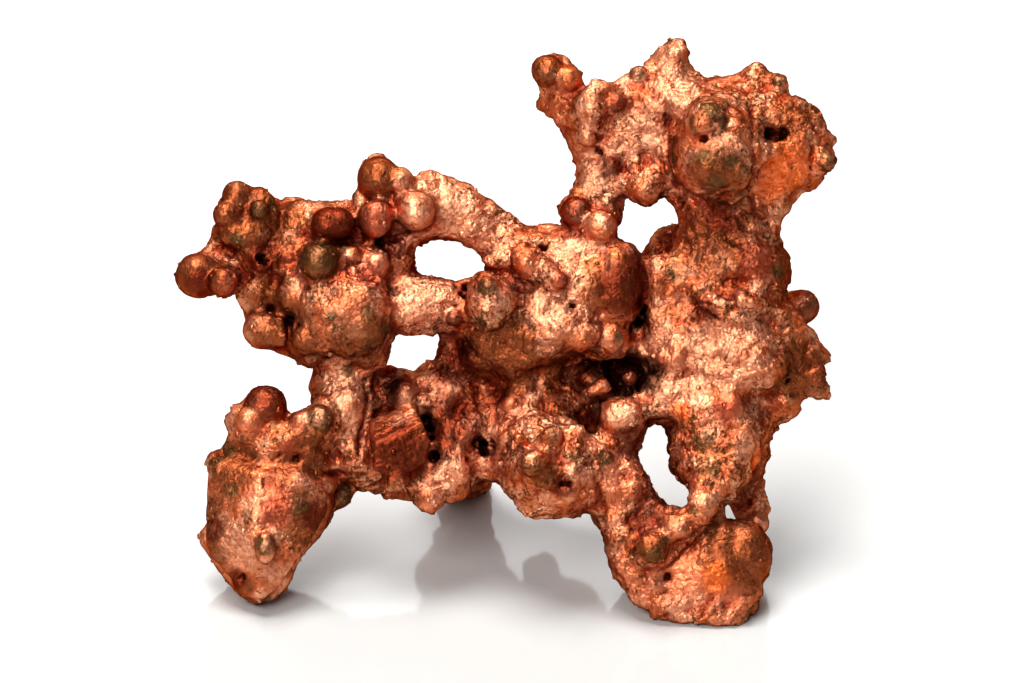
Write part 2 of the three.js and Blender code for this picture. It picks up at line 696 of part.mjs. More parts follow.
// Walks the field through a grid of cubes, each split into six tetrahedra round its long diagonal,
// and joins the crossings into a closed surface.
function surfaceOf(field) {
  const counts = fieldLow.map((low, axis) => Math.ceil((fieldHigh[axis] - low) / gridStep) + 1);
  const rowStep = counts[0];
  const layerStep = counts[0] * counts[1];
  const values = new Float64Array(layerStep * counts[2]);
  const placeOf = (index) => [
    fieldLow[0] + (index % rowStep) * gridStep,
    fieldLow[1] + (Math.floor(index / rowStep) % counts[1]) * gridStep,
    fieldLow[2] + Math.floor(index / layerStep) * gridStep,
  ];
  for (let index = 0; index < values.length; index += 1) values[index] = field(...placeOf(index));
  const corners = [
    [1, 1 + rowStep],
    [1 + rowStep, rowStep],
    [rowStep, rowStep + layerStep],
    [rowStep + layerStep, layerStep],
    [layerStep, 1 + layerStep],
    [1 + layerStep, 1],
  ];
  const far = 1 + rowStep + layerStep;
  const points = [];
  const faces = [];
  const known = new Map();
  const crossing = (inside, outside) => {
    const key = Math.min(inside, outside) * values.length + Math.max(inside, outside);
    if (known.has(key)) return known.get(key);
    const a = placeOf(inside);
    const b = placeOf(outside);
    const share = values[inside] / (values[inside] - values[outside]);
    const along = THREE.MathUtils.clamp(share, cornerMargin, 1 - cornerMargin);
    points.push(a.map((value, axis) => value + (b[axis] - value) * along));
    known.set(key, points.length - 1);
    return points.length - 1;
  };
  const addFace = (a, b, c, inner, outer) => {
    const side = new THREE.Vector3(...points[b]).sub(new THREE.Vector3(...points[a]));
    const other = new THREE.Vector3(...points[c]).sub(new THREE.Vector3(...points[a]));
    const outward = new THREE.Vector3(...placeOf(outer)).sub(new THREE.Vector3(...placeOf(inner)));
    const facesOut = side.cross(other).dot(outward) > 0;
    faces.push(facesOut ? [a, b, c] : [a, c, b]);
  };
  for (let layer = 0; layer < counts[2] - 1; layer += 1) {
    for (let row = 0; row < counts[1] - 1; row += 1) {
      for (let column = 0; column < counts[0] - 1; column += 1) {
        const base = column + row * rowStep + layer * layerStep;
        for (const pair of corners) {
          const tetrahedron = [base, base + pair[0], base + pair[1], base + far];
          const inside = tetrahedron.filter((corner) => values[corner] < 0);
          const outside = tetrahedron.filter((corner) => values[corner] >= 0);
          if (inside.length === 1 || outside.length === 1) {
            const lone = inside.length === 1 ? inside[0] : outside[0];
            const rest = inside.length === 1 ? outside : inside;
            const cut = rest.map((corner) =>
              inside.length === 1 ? crossing(lone, corner) : crossing(corner, lone),
            );
            addFace(...cut, inside[0], outside[0]);
          } else if (inside.length === 2) {
            const a = crossing(inside[0], outside[0]);
            const b = crossing(inside[0], outside[1]);
            const c = crossing(inside[1], outside[1]);
            const d = crossing(inside[1], outside[0]);
            addFace(a, b, c, inside[0], outside[0]);
            addFace(a, c, d, inside[0], outside[0]);
          }
        }
      }
    }
  }
  return { points, faces };
}

// Keeps the largest closed shell: loose crumbs and sealed bubbles are left out.
function largestShell({ points, faces }) {
  const parent = points.map((_, index) => index);
  const rootOf = (index) => {
    let root = index;
    while (parent[root] !== root) {
      parent[root] = parent[parent[root]];
      root = parent[root];
    }
    return root;
  };
  for (const [a, b, c] of faces) {
    parent[rootOf(a)] = rootOf(b);
    parent[rootOf(b)] = rootOf(c);
  }
  const sizes = new Map();
  for (const face of faces) sizes.set(rootOf(face[0]), (sizes.get(rootOf(face[0])) ?? 0) + 1);
  const largest = [...sizes.entries()].sort((a, b) => b[1] - a[1])[0][0];
  return { points, faces: faces.filter((face) => rootOf(face[0]) === largest) };
}

// A heap of edges, the cheapest to remove first.
class EdgeHeap {
  constructor() {
    this.items = [];
  }
  push(item) {
    const items = this.items;
    items.push(item);
    let index = items.length - 1;
    while (index > 0) {
      const above = (index - 1) >> 1;
      if (items[above].cost <= items[index].cost) break;
      [items[above], items[index]] = [items[index], items[above]];
      index = above;
    }
  }
  pop() {
    const items = this.items;
    const top = items[0];
    const last = items.pop();
    if (items.length) {
      items[0] = last;
      let index = 0;
      for (;;) {
        const left = 2 * index + 1;
        if (left >= items.length) break;
        const right = left + 1;
        const below = right < items.length && items[right].cost < items[left].cost ? right : left;
        if (items[index].cost <= items[below].cost) break;
        [items[below], items[index]] = [items[index], items[below]];
        index = below;
      }
    }
    return top;
  }
}

// Removes the edges that matter least to the shape until the budget is met.
function thinned({ points, faces }, budget) {
  const quadrics = points.map(() => new Float64Array(10));
  const around = points.map(() => new Set());
  const stamps = new Int32Array(points.length);
  const normalOf = (a, b, c) => {
    const ux = b[0] - a[0];
    const uy = b[1] - a[1];
    const uz = b[2] - a[2];
    const vx = c[0] - a[0];
    const vy = c[1] - a[1];
    const vz = c[2] - a[2];
    return [uy * vz - uz * vy, uz * vx - ux * vz, ux * vy - uy * vx];
  };
  faces.forEach((face, index) => {
    const [a, b, c] = face.map((corner) => points[corner]);
    const normal = normalOf(a, b, c);
    const area = Math.hypot(...normal);
    const [nx, ny, nz] = area > 0 ? normal.map((value) => value / area) : [0, 0, 0];
    const offset = -(nx * a[0] + ny * a[1] + nz * a[2]);
    const terms = [
      nx * nx,
      nx * ny,
      nx * nz,
      nx * offset,
      ny * ny,
      ny * nz,
      ny * offset,
      nz * nz,
      nz * offset,
      offset * offset,
    ];
    for (const corner of face) {
      around[corner].add(index);
      terms.forEach((term, slot) => {
        quadrics[corner][slot] += term * area;
      });
    }
  });
  const errorAt = (q, [x, y, z]) =>
    q[0] * x * x +
    2 * q[1] * x * y +
    2 * q[2] * x * z +
    2 * q[3] * x +
    q[4] * y * y +
    2 * q[5] * y * z +
    2 * q[6] * y +
    q[7] * z * z +
    2 * q[8] * z +
    q[9];
  const heap = new EdgeHeap();
  const matrix = new THREE.Matrix3();
  const offer = (a, b) => {
    const q = quadrics[a].map((value, slot) => value + quadrics[b][slot]);
    const middle = points[a].map((value, axis) => (value + points[b][axis]) / 2);
    const length = Math.hypot(...points[a].map((value, axis) => value - points[b][axis]));
    const choices = [middle, points[a], points[b]];
    matrix.set(q[0], q[1], q[2], q[1], q[4], q[5], q[2], q[5], q[7]);
    if (Math.abs(matrix.determinant()) > flattestSolve) {
      const best = new THREE.Vector3(-q[3], -q[6], -q[8]).applyMatrix3(matrix.invert());
      const drift = Math.hypot(best.x - middle[0], best.y - middle[1], best.z - middle[2]);
      if (drift < length) choices.push([best.x, best.y, best.z]);
    }
    const costs = choices.map((choice) => errorAt(q, choice));
    const pick = costs.indexOf(Math.min(...costs));
    const cost = Math.max(costs[pick], 0) + lengthPenalty * length * length;
    heap.push({ cost, a, b, place: choices[pick], stamp: stamps[a] + stamps[b] });
  };
  const neighboursOf = (corner) => {
    const found = new Set();
    for (const index of around[corner]) for (const other of faces[index]) found.add(other);
    found.delete(corner);
    return found;
  };
  points.forEach((_, corner) => {
    if (!around[corner].size) return;
    for (const other of neighboursOf(corner)) if (other > corner) offer(corner, other);
  });
  let left = faces.length;
  while (left > budget && heap.items.length) {
    const edge = heap.pop();
    const { a, b, place } = edge;
    if (!around[a].size || !around[b].size) continue;
    if (edge.stamp !== stamps[a] + stamps[b]) continue;
    const nearB = neighboursOf(b);
    const shared = [...neighboursOf(a)].filter((corner) => nearB.has(corner));
    if (shared.length !== 2) continue;
    const keepsShape = [a, b].every((corner) =>
      [...around[corner]].every((index) => {
        const face = faces[index];
        if (face.includes(a) && face.includes(b)) return true;
        const before = normalOf(...face.map((other) => points[other]));
        const after = normalOf(...face.map((other) => (other === corner ? place : points[other])));
        const dot = before[0] * after[0] + before[1] * after[1] + before[2] * after[2];
        const sizeAfter = Math.hypot(...after);
        return sizeAfter > smallestFace && dot > leastAgreement * Math.hypot(...before) * sizeAfter;
      }),
    );
    if (!keepsShape) continue;
    points[a] = place;
    quadrics[b].forEach((value, slot) => {
      quadrics[a][slot] += value;
    });
    for (const index of around[b]) {
      const face = faces[index];
      if (face.includes(a)) {
        for (const corner of face) if (corner !== b) around[corner].delete(index);
        faces[index] = null;
        left -= 1;
      } else {
        faces[index] = face.map((corner) => (corner === b ? a : corner));
        around[a].add(index);
      }
    }
    around[b].clear();
    stamps[a] += 1;
    for (const other of neighboursOf(a)) offer(a, other);
  }
  return { points, faces: faces.filter(Boolean) };
}

// Corners that lie on the floor or just over it make one level sole under each foot.
function levelled(points) {
  return points.map(([x, y, z]) => [x, y, z < solePatch ? 0 : z]);
}

const shell = thinned(largestShell(surfaceOf(standingField)), triangleBudget);
const places = levelled(shell.points);
const used = new Map();
const positions = [];
const order = [];
for (const face of shell.faces) {
  for (const corner of face) {
    if (!used.has(corner)) {
      used.set(corner, positions.length / 3);
      positions.push(...places[corner]);
    }
    order.push(used.get(corner));
  }
}
const geometry = new THREE.BufferGeometry();
geometry.setAttribute("position", new THREE.Float32BufferAttribute(positions, 3));
geometry.setIndex(order);
geometry.computeBoundingBox();

// The origin goes to the middle of the footprint, on the floor.
const middle = geometry.boundingBox.getCenter(new THREE.Vector3());
geometry.translate(-middle.x, -middle.y, 0);
geometry.computeVertexNormals();

const copper = new THREE.MeshStandardMaterial({
  color: copperColour,
  roughness: copperRoughness,
  metalness: copperMetalness,
});

const nugget = new THREE.Mesh(geometry, copper);
nugget.name = "nugget";

const part = new THREE.Group();
part.add(nugget);

export default part;
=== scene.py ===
import math
import random

import bmesh
import bpy
import numpy as np
from mathutils import Matrix, Vector
from mathutils.bvhtree import BVHTree


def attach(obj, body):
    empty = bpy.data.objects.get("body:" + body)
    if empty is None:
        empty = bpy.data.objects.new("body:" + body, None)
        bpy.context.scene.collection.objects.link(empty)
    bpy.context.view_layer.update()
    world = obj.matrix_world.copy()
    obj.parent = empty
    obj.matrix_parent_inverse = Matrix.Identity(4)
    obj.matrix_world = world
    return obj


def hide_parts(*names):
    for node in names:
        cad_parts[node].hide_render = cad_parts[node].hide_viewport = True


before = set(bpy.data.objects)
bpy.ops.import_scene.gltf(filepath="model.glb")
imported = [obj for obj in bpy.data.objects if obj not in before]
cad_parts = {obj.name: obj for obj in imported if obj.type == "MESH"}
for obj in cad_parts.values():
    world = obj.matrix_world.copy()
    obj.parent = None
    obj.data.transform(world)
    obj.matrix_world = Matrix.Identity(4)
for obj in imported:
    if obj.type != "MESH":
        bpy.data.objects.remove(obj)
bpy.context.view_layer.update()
print("frame loaded")

metresPerMm = 0.001  # the skin is built in millimetres and brought to metres at the end
softBorder = 0.6  # a stain's fading border, as a share of its radius
hardBorder = 0.12  # a bead's own border
beadMargin = 1.12  # a bead's finish reaches this much past the bead itself

# Places on the nugget are written as the photograph shows them, in millimetres:
# across to the right, depth away from the camera, up the picture.
viewpoint = {
    "elevation": math.radians(27),
    "distance": 1000.0,
    "lookAt": (0.25, 3.0, 17.78),
    "frameWidth": 64.0,
    "sensorWidth": 36.0,
    "footprintMiddle": (0.0195, 10.139),
}


def standing(across, depth, up):
    lean = viewpoint["elevation"]
    middle = viewpoint["footprintMiddle"]
    return Vector((
        across - middle[0],
        depth * math.cos(lean) + up * math.sin(lean) - middle[1],
        up * math.cos(lean) - depth * math.sin(lean),
    ))


def toWorld(across, depth, up):
    return standing(across, depth, up) - standing(0, 0, 0)


def meshObject(name, mesh):
    made = bpy.data.objects.new(name, mesh)
    bpy.context.scene.collection.objects.link(made)
    return made


def applied(made):
    graph = bpy.context.evaluated_depsgraph_get()
    mesh = bpy.data.meshes.new_from_object(made.evaluated_get(graph))
    made.modifiers.clear()
    old = made.data
    made.data = mesh
    bpy.data.meshes.remove(old)
    return made


def smoothed(made, steps):
    modifier = made.modifiers.new("Smooth", "SMOOTH")
    modifier.factor = 0.5
    modifier.iterations = steps
    return applied(made)


def remeshed(made, voxel):
    modifier = made.modifiers.new("Remesh", "REMESH")
    modifier.mode = "VOXEL"
    modifier.voxel_size = voxel
    modifier.use_smooth_shade = True
    return applied(made)


def coordinatesOf(mesh):
    places = np.zeros(len(mesh.vertices) * 3, np.float32)
    mesh.vertices.foreach_get("co", places)
    return places.reshape(-1, 3)


def normalsOf(mesh):
    normals = np.zeros(len(mesh.vertices) * 3, np.float32)
    mesh.vertices.foreach_get("normal", normals)
    return normals.reshape(-1, 3)


def moveTo(mesh, places):
    mesh.vertices.foreach_set("co", places.astype(np.float32).ravel())
    mesh.update()


def storeFactor(mesh, name, values):
    layer = mesh.attributes.new(name, "FLOAT", "POINT")
    layer.data.foreach_set("value", values.astype(np.float32))


def skinTreeOf(made):
    return BVHTree.FromObject(made, bpy.context.evaluated_depsgraph_get())


# Where a line from the front, or from behind, meets the skin: the place, its normal and its depth.
def seenFrom(side, skinTree, across, up):
    start = -40 * side
    hit, normal, index, distance = skinTree.ray_cast(standing(across, start, up), toWorld(0, side, 0))
    if hit is None:
        return None, None, None
    return hit, normal, start + side * distance


def seenFromFront(skinTree, across, up):
    return seenFrom(1, skinTree, across, up)


# Even steps along a line of places.
def stepsAlong(line, spacing):
    for (across, up), (nextAcross, nextUp) in zip(line, line[1:]):
        count = max(1, round(math.hypot(nextAcross - across, nextUp - up) / spacing))
        for step in range(count):
            share = step / count
            yield across + (nextAcross - across) * share, up + (nextUp - up) * share
    yield line[-1]


# How much of a finish each place has: whole inside a spot, and none past its fading border.
def spotFactor(places, spots, finish):
    found = np.zeros(len(places))
    for middle, radius, fade, kind in spots:
        if kind == finish:
            away = np.linalg.norm(places - np.array(middle), axis=1) / radius
            found = np.maximum(found, np.clip((1 + fade - away) / (fade * 1.5), 0, 1))
    return found


def inputIdentifier(tree, name):
    for item in tree.interface.items_tree:
        if item.item_type == "SOCKET" and item.in_out == "INPUT" and item.name == name:
            return item.identifier
    raise KeyError(name)


def newGeometryTree(name, sizes):
    tree = bpy.data.node_groups.new(name, "GeometryNodeTree")
    tree.interface.new_socket("Geometry", in_out="INPUT", socket_type="NodeSocketGeometry")
    for label, value in sizes.items():
        kind = "NodeSocketInt" if isinstance(value, int) else "NodeSocketFloat"
        tree.interface.new_socket(label, in_out="INPUT", socket_type=kind).default_value = value
    tree.interface.new_socket("Material", in_out="INPUT", socket_type="NodeSocketMaterial")
    tree.interface.new_socket("Geometry", in_out="OUTPUT", socket_type="NodeSocketGeometry")
    return tree


def addNode(tree, kind, inputs=None, **settings):
    node = tree.nodes.new(kind)
    for key, value in settings.items():
        setattr(node, key, value)
    for key, value in (inputs or {}).items():
        if isinstance(value, bpy.types.NodeSocket):
            tree.links.new(value, node.inputs[key])
        else:
            node.inputs[key].default_value = value
    return node


def maths(tree, operation, *values):
    return addNode(tree, "ShaderNodeMath", dict(enumerate(values)), operation=operation).outputs[0]


# The same for vectors, or for a vector and a number that scales it.
def vectorMaths(tree, operation, first, second):
    key = "Scale" if operation == "SCALE" else 1
    node = addNode(tree, "ShaderNodeVectorMath", {0: first, key: second}, operation=operation)
    return node.outputs["Value" if operation == "DOT_PRODUCT" else "Vector"]


def between(tree, value, low, high, start=0.0, end=1.0):
    settings = {"Value": value, "From Min": low, "From Max": high, "To Min": start, "To Max": end}
    return addNode(tree, "ShaderNodeMapRange", settings, interpolation_type="SMOOTHSTEP").outputs[0]


def mixed(tree, amount, first, second):
    return addNode(tree, "ShaderNodeMix", {0: amount, 6: first, 7: second}, data_type="RGBA").outputs[2]


def growTree(made, tree, sizes, material):
    modifier = made.modifiers.new(tree.name, "NODES")
    modifier.node_group = tree
    for label, value in sizes.items():
        modifier[inputIdentifier(tree, label)] = value
    modifier[inputIdentifier(tree, "Material")] = material
    return applied(made)


def finishTree(tree, geometry, material):
    real = addNode(tree, "GeometryNodeRealizeInstances", {"Geometry": geometry}).outputs[0]
    dressed = addNode(tree, "GeometryNodeSetMaterial", {"Geometry": real, "Material": material})
    tree.links.new(dressed.outputs[0], tree.nodes.new("NodeGroupOutput").inputs[0])


def pushedOut(tree, geometry, height):
    push = vectorMaths(tree, "SCALE", tree.nodes.new("GeometryNodeInputNormal").outputs[0], height)
    return addNode(tree, "GeometryNodeSetPosition", {"Geometry": geometry, "Offset": push}).outputs[0]


# Cells that each lean their own way, like the faces of broken metal: their height and colour.
def tiltedCells(tree, place, size):
    scale = maths(tree, "DIVIDE", 1.0, size)
    cell = addNode(tree, "ShaderNodeTexVoronoi", {"Vector": place, "Scale": scale}, feature="F1").outputs
    lean = vectorMaths(tree, "SUBTRACT", cell["Color"], (0.5, 0.5, 0.5))
    away = vectorMaths(tree, "SUBTRACT", place, cell["Position"])
    return vectorMaths(tree, "DOT_PRODUCT", lean, away), cell["Color"]


def shaderGroup(name, inputs, outputs):
    group = bpy.data.node_groups.new(name, "ShaderNodeTree")
    for label, value in inputs.items():
        kind = "NodeSocketColor" if isinstance(value, tuple) else "NodeSocketFloat"
        group.interface.new_socket(label, in_out="INPUT", socket_type=kind).default_value = value
    for label, kind in outputs.items():
        group.interface.new_socket(label, in_out="OUTPUT", socket_type=kind)
    return group


def attributeOf(tree, name):
    return addNode(tree, "ShaderNodeAttribute", attribute_name=name).outputs["Fac"]


metal = {
    "copper": (0.47, 0.088, 0.024, 1),
    "bright": (0.83, 0.36, 0.2, 1),
    "pink": (0.72, 0.18, 0.08, 1),
    "rose": (0.34, 0.05, 0.022, 1),
    "brown": (0.18, 0.042, 0.013, 1),
    "crack": (0.2, 0.015, 0.005, 1),
    "shade": (0.26, 0.024, 0.007, 1),
    # ruby: red oxide, and also the painted shade of sheltered places and hollows
    "ruby": (0.1, 0.008, 0.0035, 1),
    # cave: painted near-black shade in pits, grooves and deep cavities
    "cave": (0.012, 0.0015, 0.0006, 1),
    "olive": (0.085, 0.047, 0.017, 1),
    "speck": (0.07, 0.03, 0.008, 1),
    "glow": (0.9, 0.14, 0.02, 1),
    # rim: painted shade along the outlines, where the skin is seen edge on
    "rim": (0.075, 0.02, 0.005, 1),
    "edgeTint": (0.3, 0.12, 0.05, 1),
    "cellSize": 0.42,
    "cellTilt": 0.21,
    "flakeSize": 0.17,
    "flakeTilt": 0.12,
    "foldScale": 1.5,
    "wrinkleScale": 3.4,
    "wrinkleShare": 0.3,
    "foldHeight": 0.27,
    "crackWidth": 0.035,
    "smoothest": 0.4,
    "roughest": 0.58,
    "mottleSize": 0.8,
    "pinkStrength": 0.6,
    "filmStrength": 0.75,
    "roseStrength": 0.75,
    "brownStrength": 0.75,
    "glowStrength": 0.6,
    "rubyStrength": 0.76,
    "oliveStrength": 0.72,
    "rimStrength": 0.75,
    "calmPolish": 0.1,
    "calmBump": 0.45,
    "bumpDistance": 0.001,
}


# The grain of the metal: tilted flakes, dark red cracks and olive-brown specks.
def hacklyGroup():
    inputs = {label.title(): metal[label] for label in ("copper", "bright", "crack", "speck")}
    inputs.update({
        "Cell Size": metal["cellSize"],
        "Flake Size": metal["flakeSize"],
        "Fold Height": metal["foldHeight"],
        "Sheen": 0.5,
        "Specks": 0.5,
        "Cracks": 1.0,
    })
    outputs = {"Colour": "NodeSocketColor"}
    outputs.update({label: "NodeSocketFloat" for label in ("Roughness", "Height", "Mottle")})
    group = shaderGroup("Hackly Copper", inputs, outputs)
    source = group.nodes.new("NodeGroupInput").outputs
    sink = group.nodes.new("NodeGroupOutput").inputs
    place = group.nodes.new("ShaderNodeTexCoord").outputs["Object"]
    place = vectorMaths(group, "SCALE", place, 1 / metresPerMm)

    def noise(scale, detail, output=0):
        settings = {"Vector": place, "Scale": scale, "Detail": detail, "Roughness": 0.6}
        return addNode(group, "ShaderNodeTexNoise", settings).outputs[output]

    def ridge(scale):
        return maths(group, "ABSOLUTE", maths(group, "SUBTRACT", noise(scale, 1), 0.5))

    bent = vectorMaths(group, "ADD", place, vectorMaths(group, "SCALE", noise(1.8, 1, 1), 0.6))
    cell, cellColour = tiltedCells(group, bent, source["Cell Size"])
    flake, flakeColour = tiltedCells(group, bent, source["Flake Size"])
    fold = ridge(metal["foldScale"])
    wrinkle = ridge(metal["wrinkleScale"])
    sheen = between(group, source["Sheen"], 0.4, 0.62)
    tone = addNode(group, "ShaderNodeSeparateColor", {0: cellColour}).outputs[0]
    glint = addNode(group, "ShaderNodeSeparateColor", {0: flakeColour}).outputs[0]
    shine = maths(group, "ADD", maths(group, "MULTIPLY", tone, 0.4), maths(group, "MULTIPLY", glint, 0.35))
    shine = maths(group, "MULTIPLY", maths(group, "ADD", shine, 0.15), maths(group, "ADD", sheen, 0.2))
    colour = mixed(group, shine, source["Copper"], source["Bright"])
    crack = between(group, fold, 0.0, metal["crackWidth"], 1.0, 0.0)
    cracks = maths(group, "SUBTRACT", 0.7, maths(group, "MULTIPLY", sheen, 0.3))
    cracks = maths(group, "MULTIPLY", cracks, source["Cracks"])
    crack = maths(group, "MULTIPLY", crack, cracks)
    colour = mixed(group, crack, colour, source["Crack"])
    grain = maths(group, "ADD", noise(3.6, 3), maths(group, "MULTIPLY", source["Specks"], 0.22))
    colour = mixed(group, between(group, grain, 0.6, 0.72, 0.0, 0.85), colour, source["Speck"])
    group.links.new(colour, sink["Colour"])
    roughness = between(group, glint, 0.0, 1.0, metal["smoothest"], metal["roughest"])
    group.links.new(roughness, sink["Roughness"])
    cells = maths(group, "MULTIPLY", cell, metal["cellTilt"])
    height = maths(group, "ADD", cells, maths(group, "MULTIPLY", flake, metal["flakeTilt"]))
    folded = maths(group, "SUBTRACT", fold, maths(group, "MULTIPLY", wrinkle, metal["wrinkleShare"]))
    height = maths(group, "ADD", height, maths(group, "MULTIPLY", folded, source["Fold Height"]))
    group.links.new(height, sink["Height"])
    group.links.new(noise(1 / metal["mottleSize"], 3), sink["Mottle"])
    return group


# Skin: the shared grain, red in the creases (partly oxide, partly painted shade), with its mottled stains,
# painted highlights in the cream-coloured patches, painted near-black shade in pits and cavities, and a
# painted dark brown rim that shades every outline seen edge on.
def skinMaterial():
    material = bpy.data.materials.new("nativeCopper")
    material.use_nodes = True
    tree = material.node_tree
    shader = tree.nodes["Principled BSDF"]
    shader.inputs["Metallic"].default_value = 1.0
    shader.inputs["Specular Tint"].default_value = metal["edgeTint"]
    hackly = tree.nodes.new("ShaderNodeGroup")
    hackly.node_tree = hacklyGroup()
    mottle = hackly.outputs["Mottle"]
    names = ("cloud", "shelter", "hollow", "creamHighlight", "brown", "olive", "ruby", "calm")
    cloud, shelter, hollow, creamHighlight, brown, olive, ruby, calm = (attributeOf(tree, name) for name in names)

    def times(value, share):
        return maths(tree, "MULTIPLY", value, share)

    def plus(first, second):
        return maths(tree, "ADD", first, second)

    def minus(first, second):
        return maths(tree, "SUBTRACT", first, second)

    # Painted highlight: the cream-coloured patches raise the bright share of the grain and thin the film
    # and specks.
    sheen = minus(plus(attributeOf(tree, "sheen"), times(creamHighlight, 0.14)), times(brown, 0.1))
    tree.links.new(sheen, hackly.inputs["Sheen"])
    specks = plus(between(tree, cloud, 0.35, 0.65, -0.2, 0.7), times(brown, 0.3))
    specks = minus(plus(specks, times(olive, 0.5)), times(plus(creamHighlight, calm), 0.3))
    tree.links.new(specks, hackly.inputs["Specks"])
    tree.links.new(minus(0.8, times(calm, 0.6)), hackly.inputs["Cracks"])

    pink = times(attributeOf(tree, "pink"), metal["pinkStrength"])
    colour = mixed(tree, pink, hackly.outputs["Colour"], metal["pink"])
    # The dark red shade colour: a drifting tarnish film, plus painted shade in the hollows.
    film = minus(plus(attributeOf(tree, "film"), times(hollow, 2.0)), times(creamHighlight, 0.15))
    film = between(tree, film, 0.5, 0.74)
    colour = mixed(tree, times(film, metal["filmStrength"]), colour, metal["shade"])
    patchy = times(plus(cloud, mottle), 0.5)
    rose = between(tree, plus(attributeOf(tree, "rose"), patchy), 0.7, 1.4)
    colour = mixed(tree, times(rose, metal["roseStrength"]), colour, metal["rose"])
    stain = between(tree, plus(brown, patchy), 0.75, 1.4)
    colour = mixed(tree, times(stain, metal["brownStrength"]), colour, metal["brown"])
    glow = times(attributeOf(tree, "glow"), metal["glowStrength"])
    colour = mixed(tree, glow, colour, metal["glow"])
    # Painted shade: places the nugget shelters from the sky, and hollows, go towards dark ruby red, as do
    # the ruby stains.
    shelteredShade = plus(times(shelter, 1.1), times(hollow, 1.8))
    shelteredShade = between(tree, plus(shelteredShade, times(patchy, 0.35)), 0.6, 1.15)
    ruby = maths(tree, "MAXIMUM", shelteredShade, between(tree, plus(ruby, patchy), 0.85, 1.5))
    colour = mixed(tree, times(ruby, metal["rubyStrength"]), colour, metal["ruby"])
    olive = between(tree, plus(times(olive, 0.8), mottle), 0.95, 1.4)
    colour = mixed(tree, times(olive, metal["oliveStrength"]), colour, metal["olive"])
    # Painted shade: a dark brown rim where the skin is seen edge on, darkening every outline.
    facing = addNode(tree, "ShaderNodeLayerWeight", {"Blend": 0.5}).outputs["Facing"]
    colour = mixed(tree, between(tree, facing, 0.5, 1.0, 0.0, metal["rimStrength"]), colour, metal["rim"])
    # Painted shade: pits, grooves and the deep cavities go near black.
    colour = mixed(tree, attributeOf(tree, "cave"), colour, metal["cave"])
    tree.links.new(colour, shader.inputs["Base Color"])

    polish = minus(1.0, times(calm, metal["calmPolish"]))
    tree.links.new(times(hackly.outputs["Roughness"], polish), shader.inputs["Roughness"])
    smooth = minus(1.0, times(calm, metal["calmBump"]))
    height = times(hackly.outputs["Height"], smooth)
    bump = addNode(tree, "ShaderNodeBump", {"Height": height, "Distance": metal["bumpDistance"]})
    bump.inputs["Strength"].default_value = 1.0
    tree.links.new(bump.outputs[0], shader.inputs["Normal"])
    return material


skin = {
    "firstVoxel": 0.25,
    "facetSmoothing": 9,
    "blockThickness": 1.6,
    "blockRoom": 0.5,
    "voxel": 0.225,
    "lastSmoothing": 1,
    "swell": 0.06,
    "blobHeight": 0.2,
    "blobSize": 2.0,
    "creaseHeight": -0.12,
    "creaseSize": 1.0,
    "pebbleTilt": 0.2,
    "pebbleSize": 0.6,
    "chipTilt": 0.34,
    "chipSize": 1.3,
    "beadCalm": 0.8,
    "pitDepth": 0.3,
    "pitSpacing": 2.3,
    "pitWidth": 0.16,
    "pitReach": 1.15,
    "hollowReach": 14,
    "shelterReach": 5.0,
    "shelterRays": 22,
    "shelterLift": 0.08,
    "shelterSlant": 0.15,
    "blockReach": 0.9,
    "swellingReach": 0.7,
    "caveShade": 0.85,
}


def nuggetCore():
    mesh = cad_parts["nugget"].data.copy()
    mesh.name = "nuggetSkin"
    mesh.materials.clear()
    shape = bmesh.new()
    shape.from_mesh(mesh)
    bmesh.ops.remove_doubles(shape, verts=shape.verts, dist=1e-6)
    shape.to_mesh(mesh)
    shape.free()
    mesh.transform(Matrix.Scale(1 / metresPerMm, 4))
    core = meshObject("nuggetSkin", mesh)
    remeshed(core, skin["firstVoxel"])
    return smoothed(core, skin["facetSmoothing"])


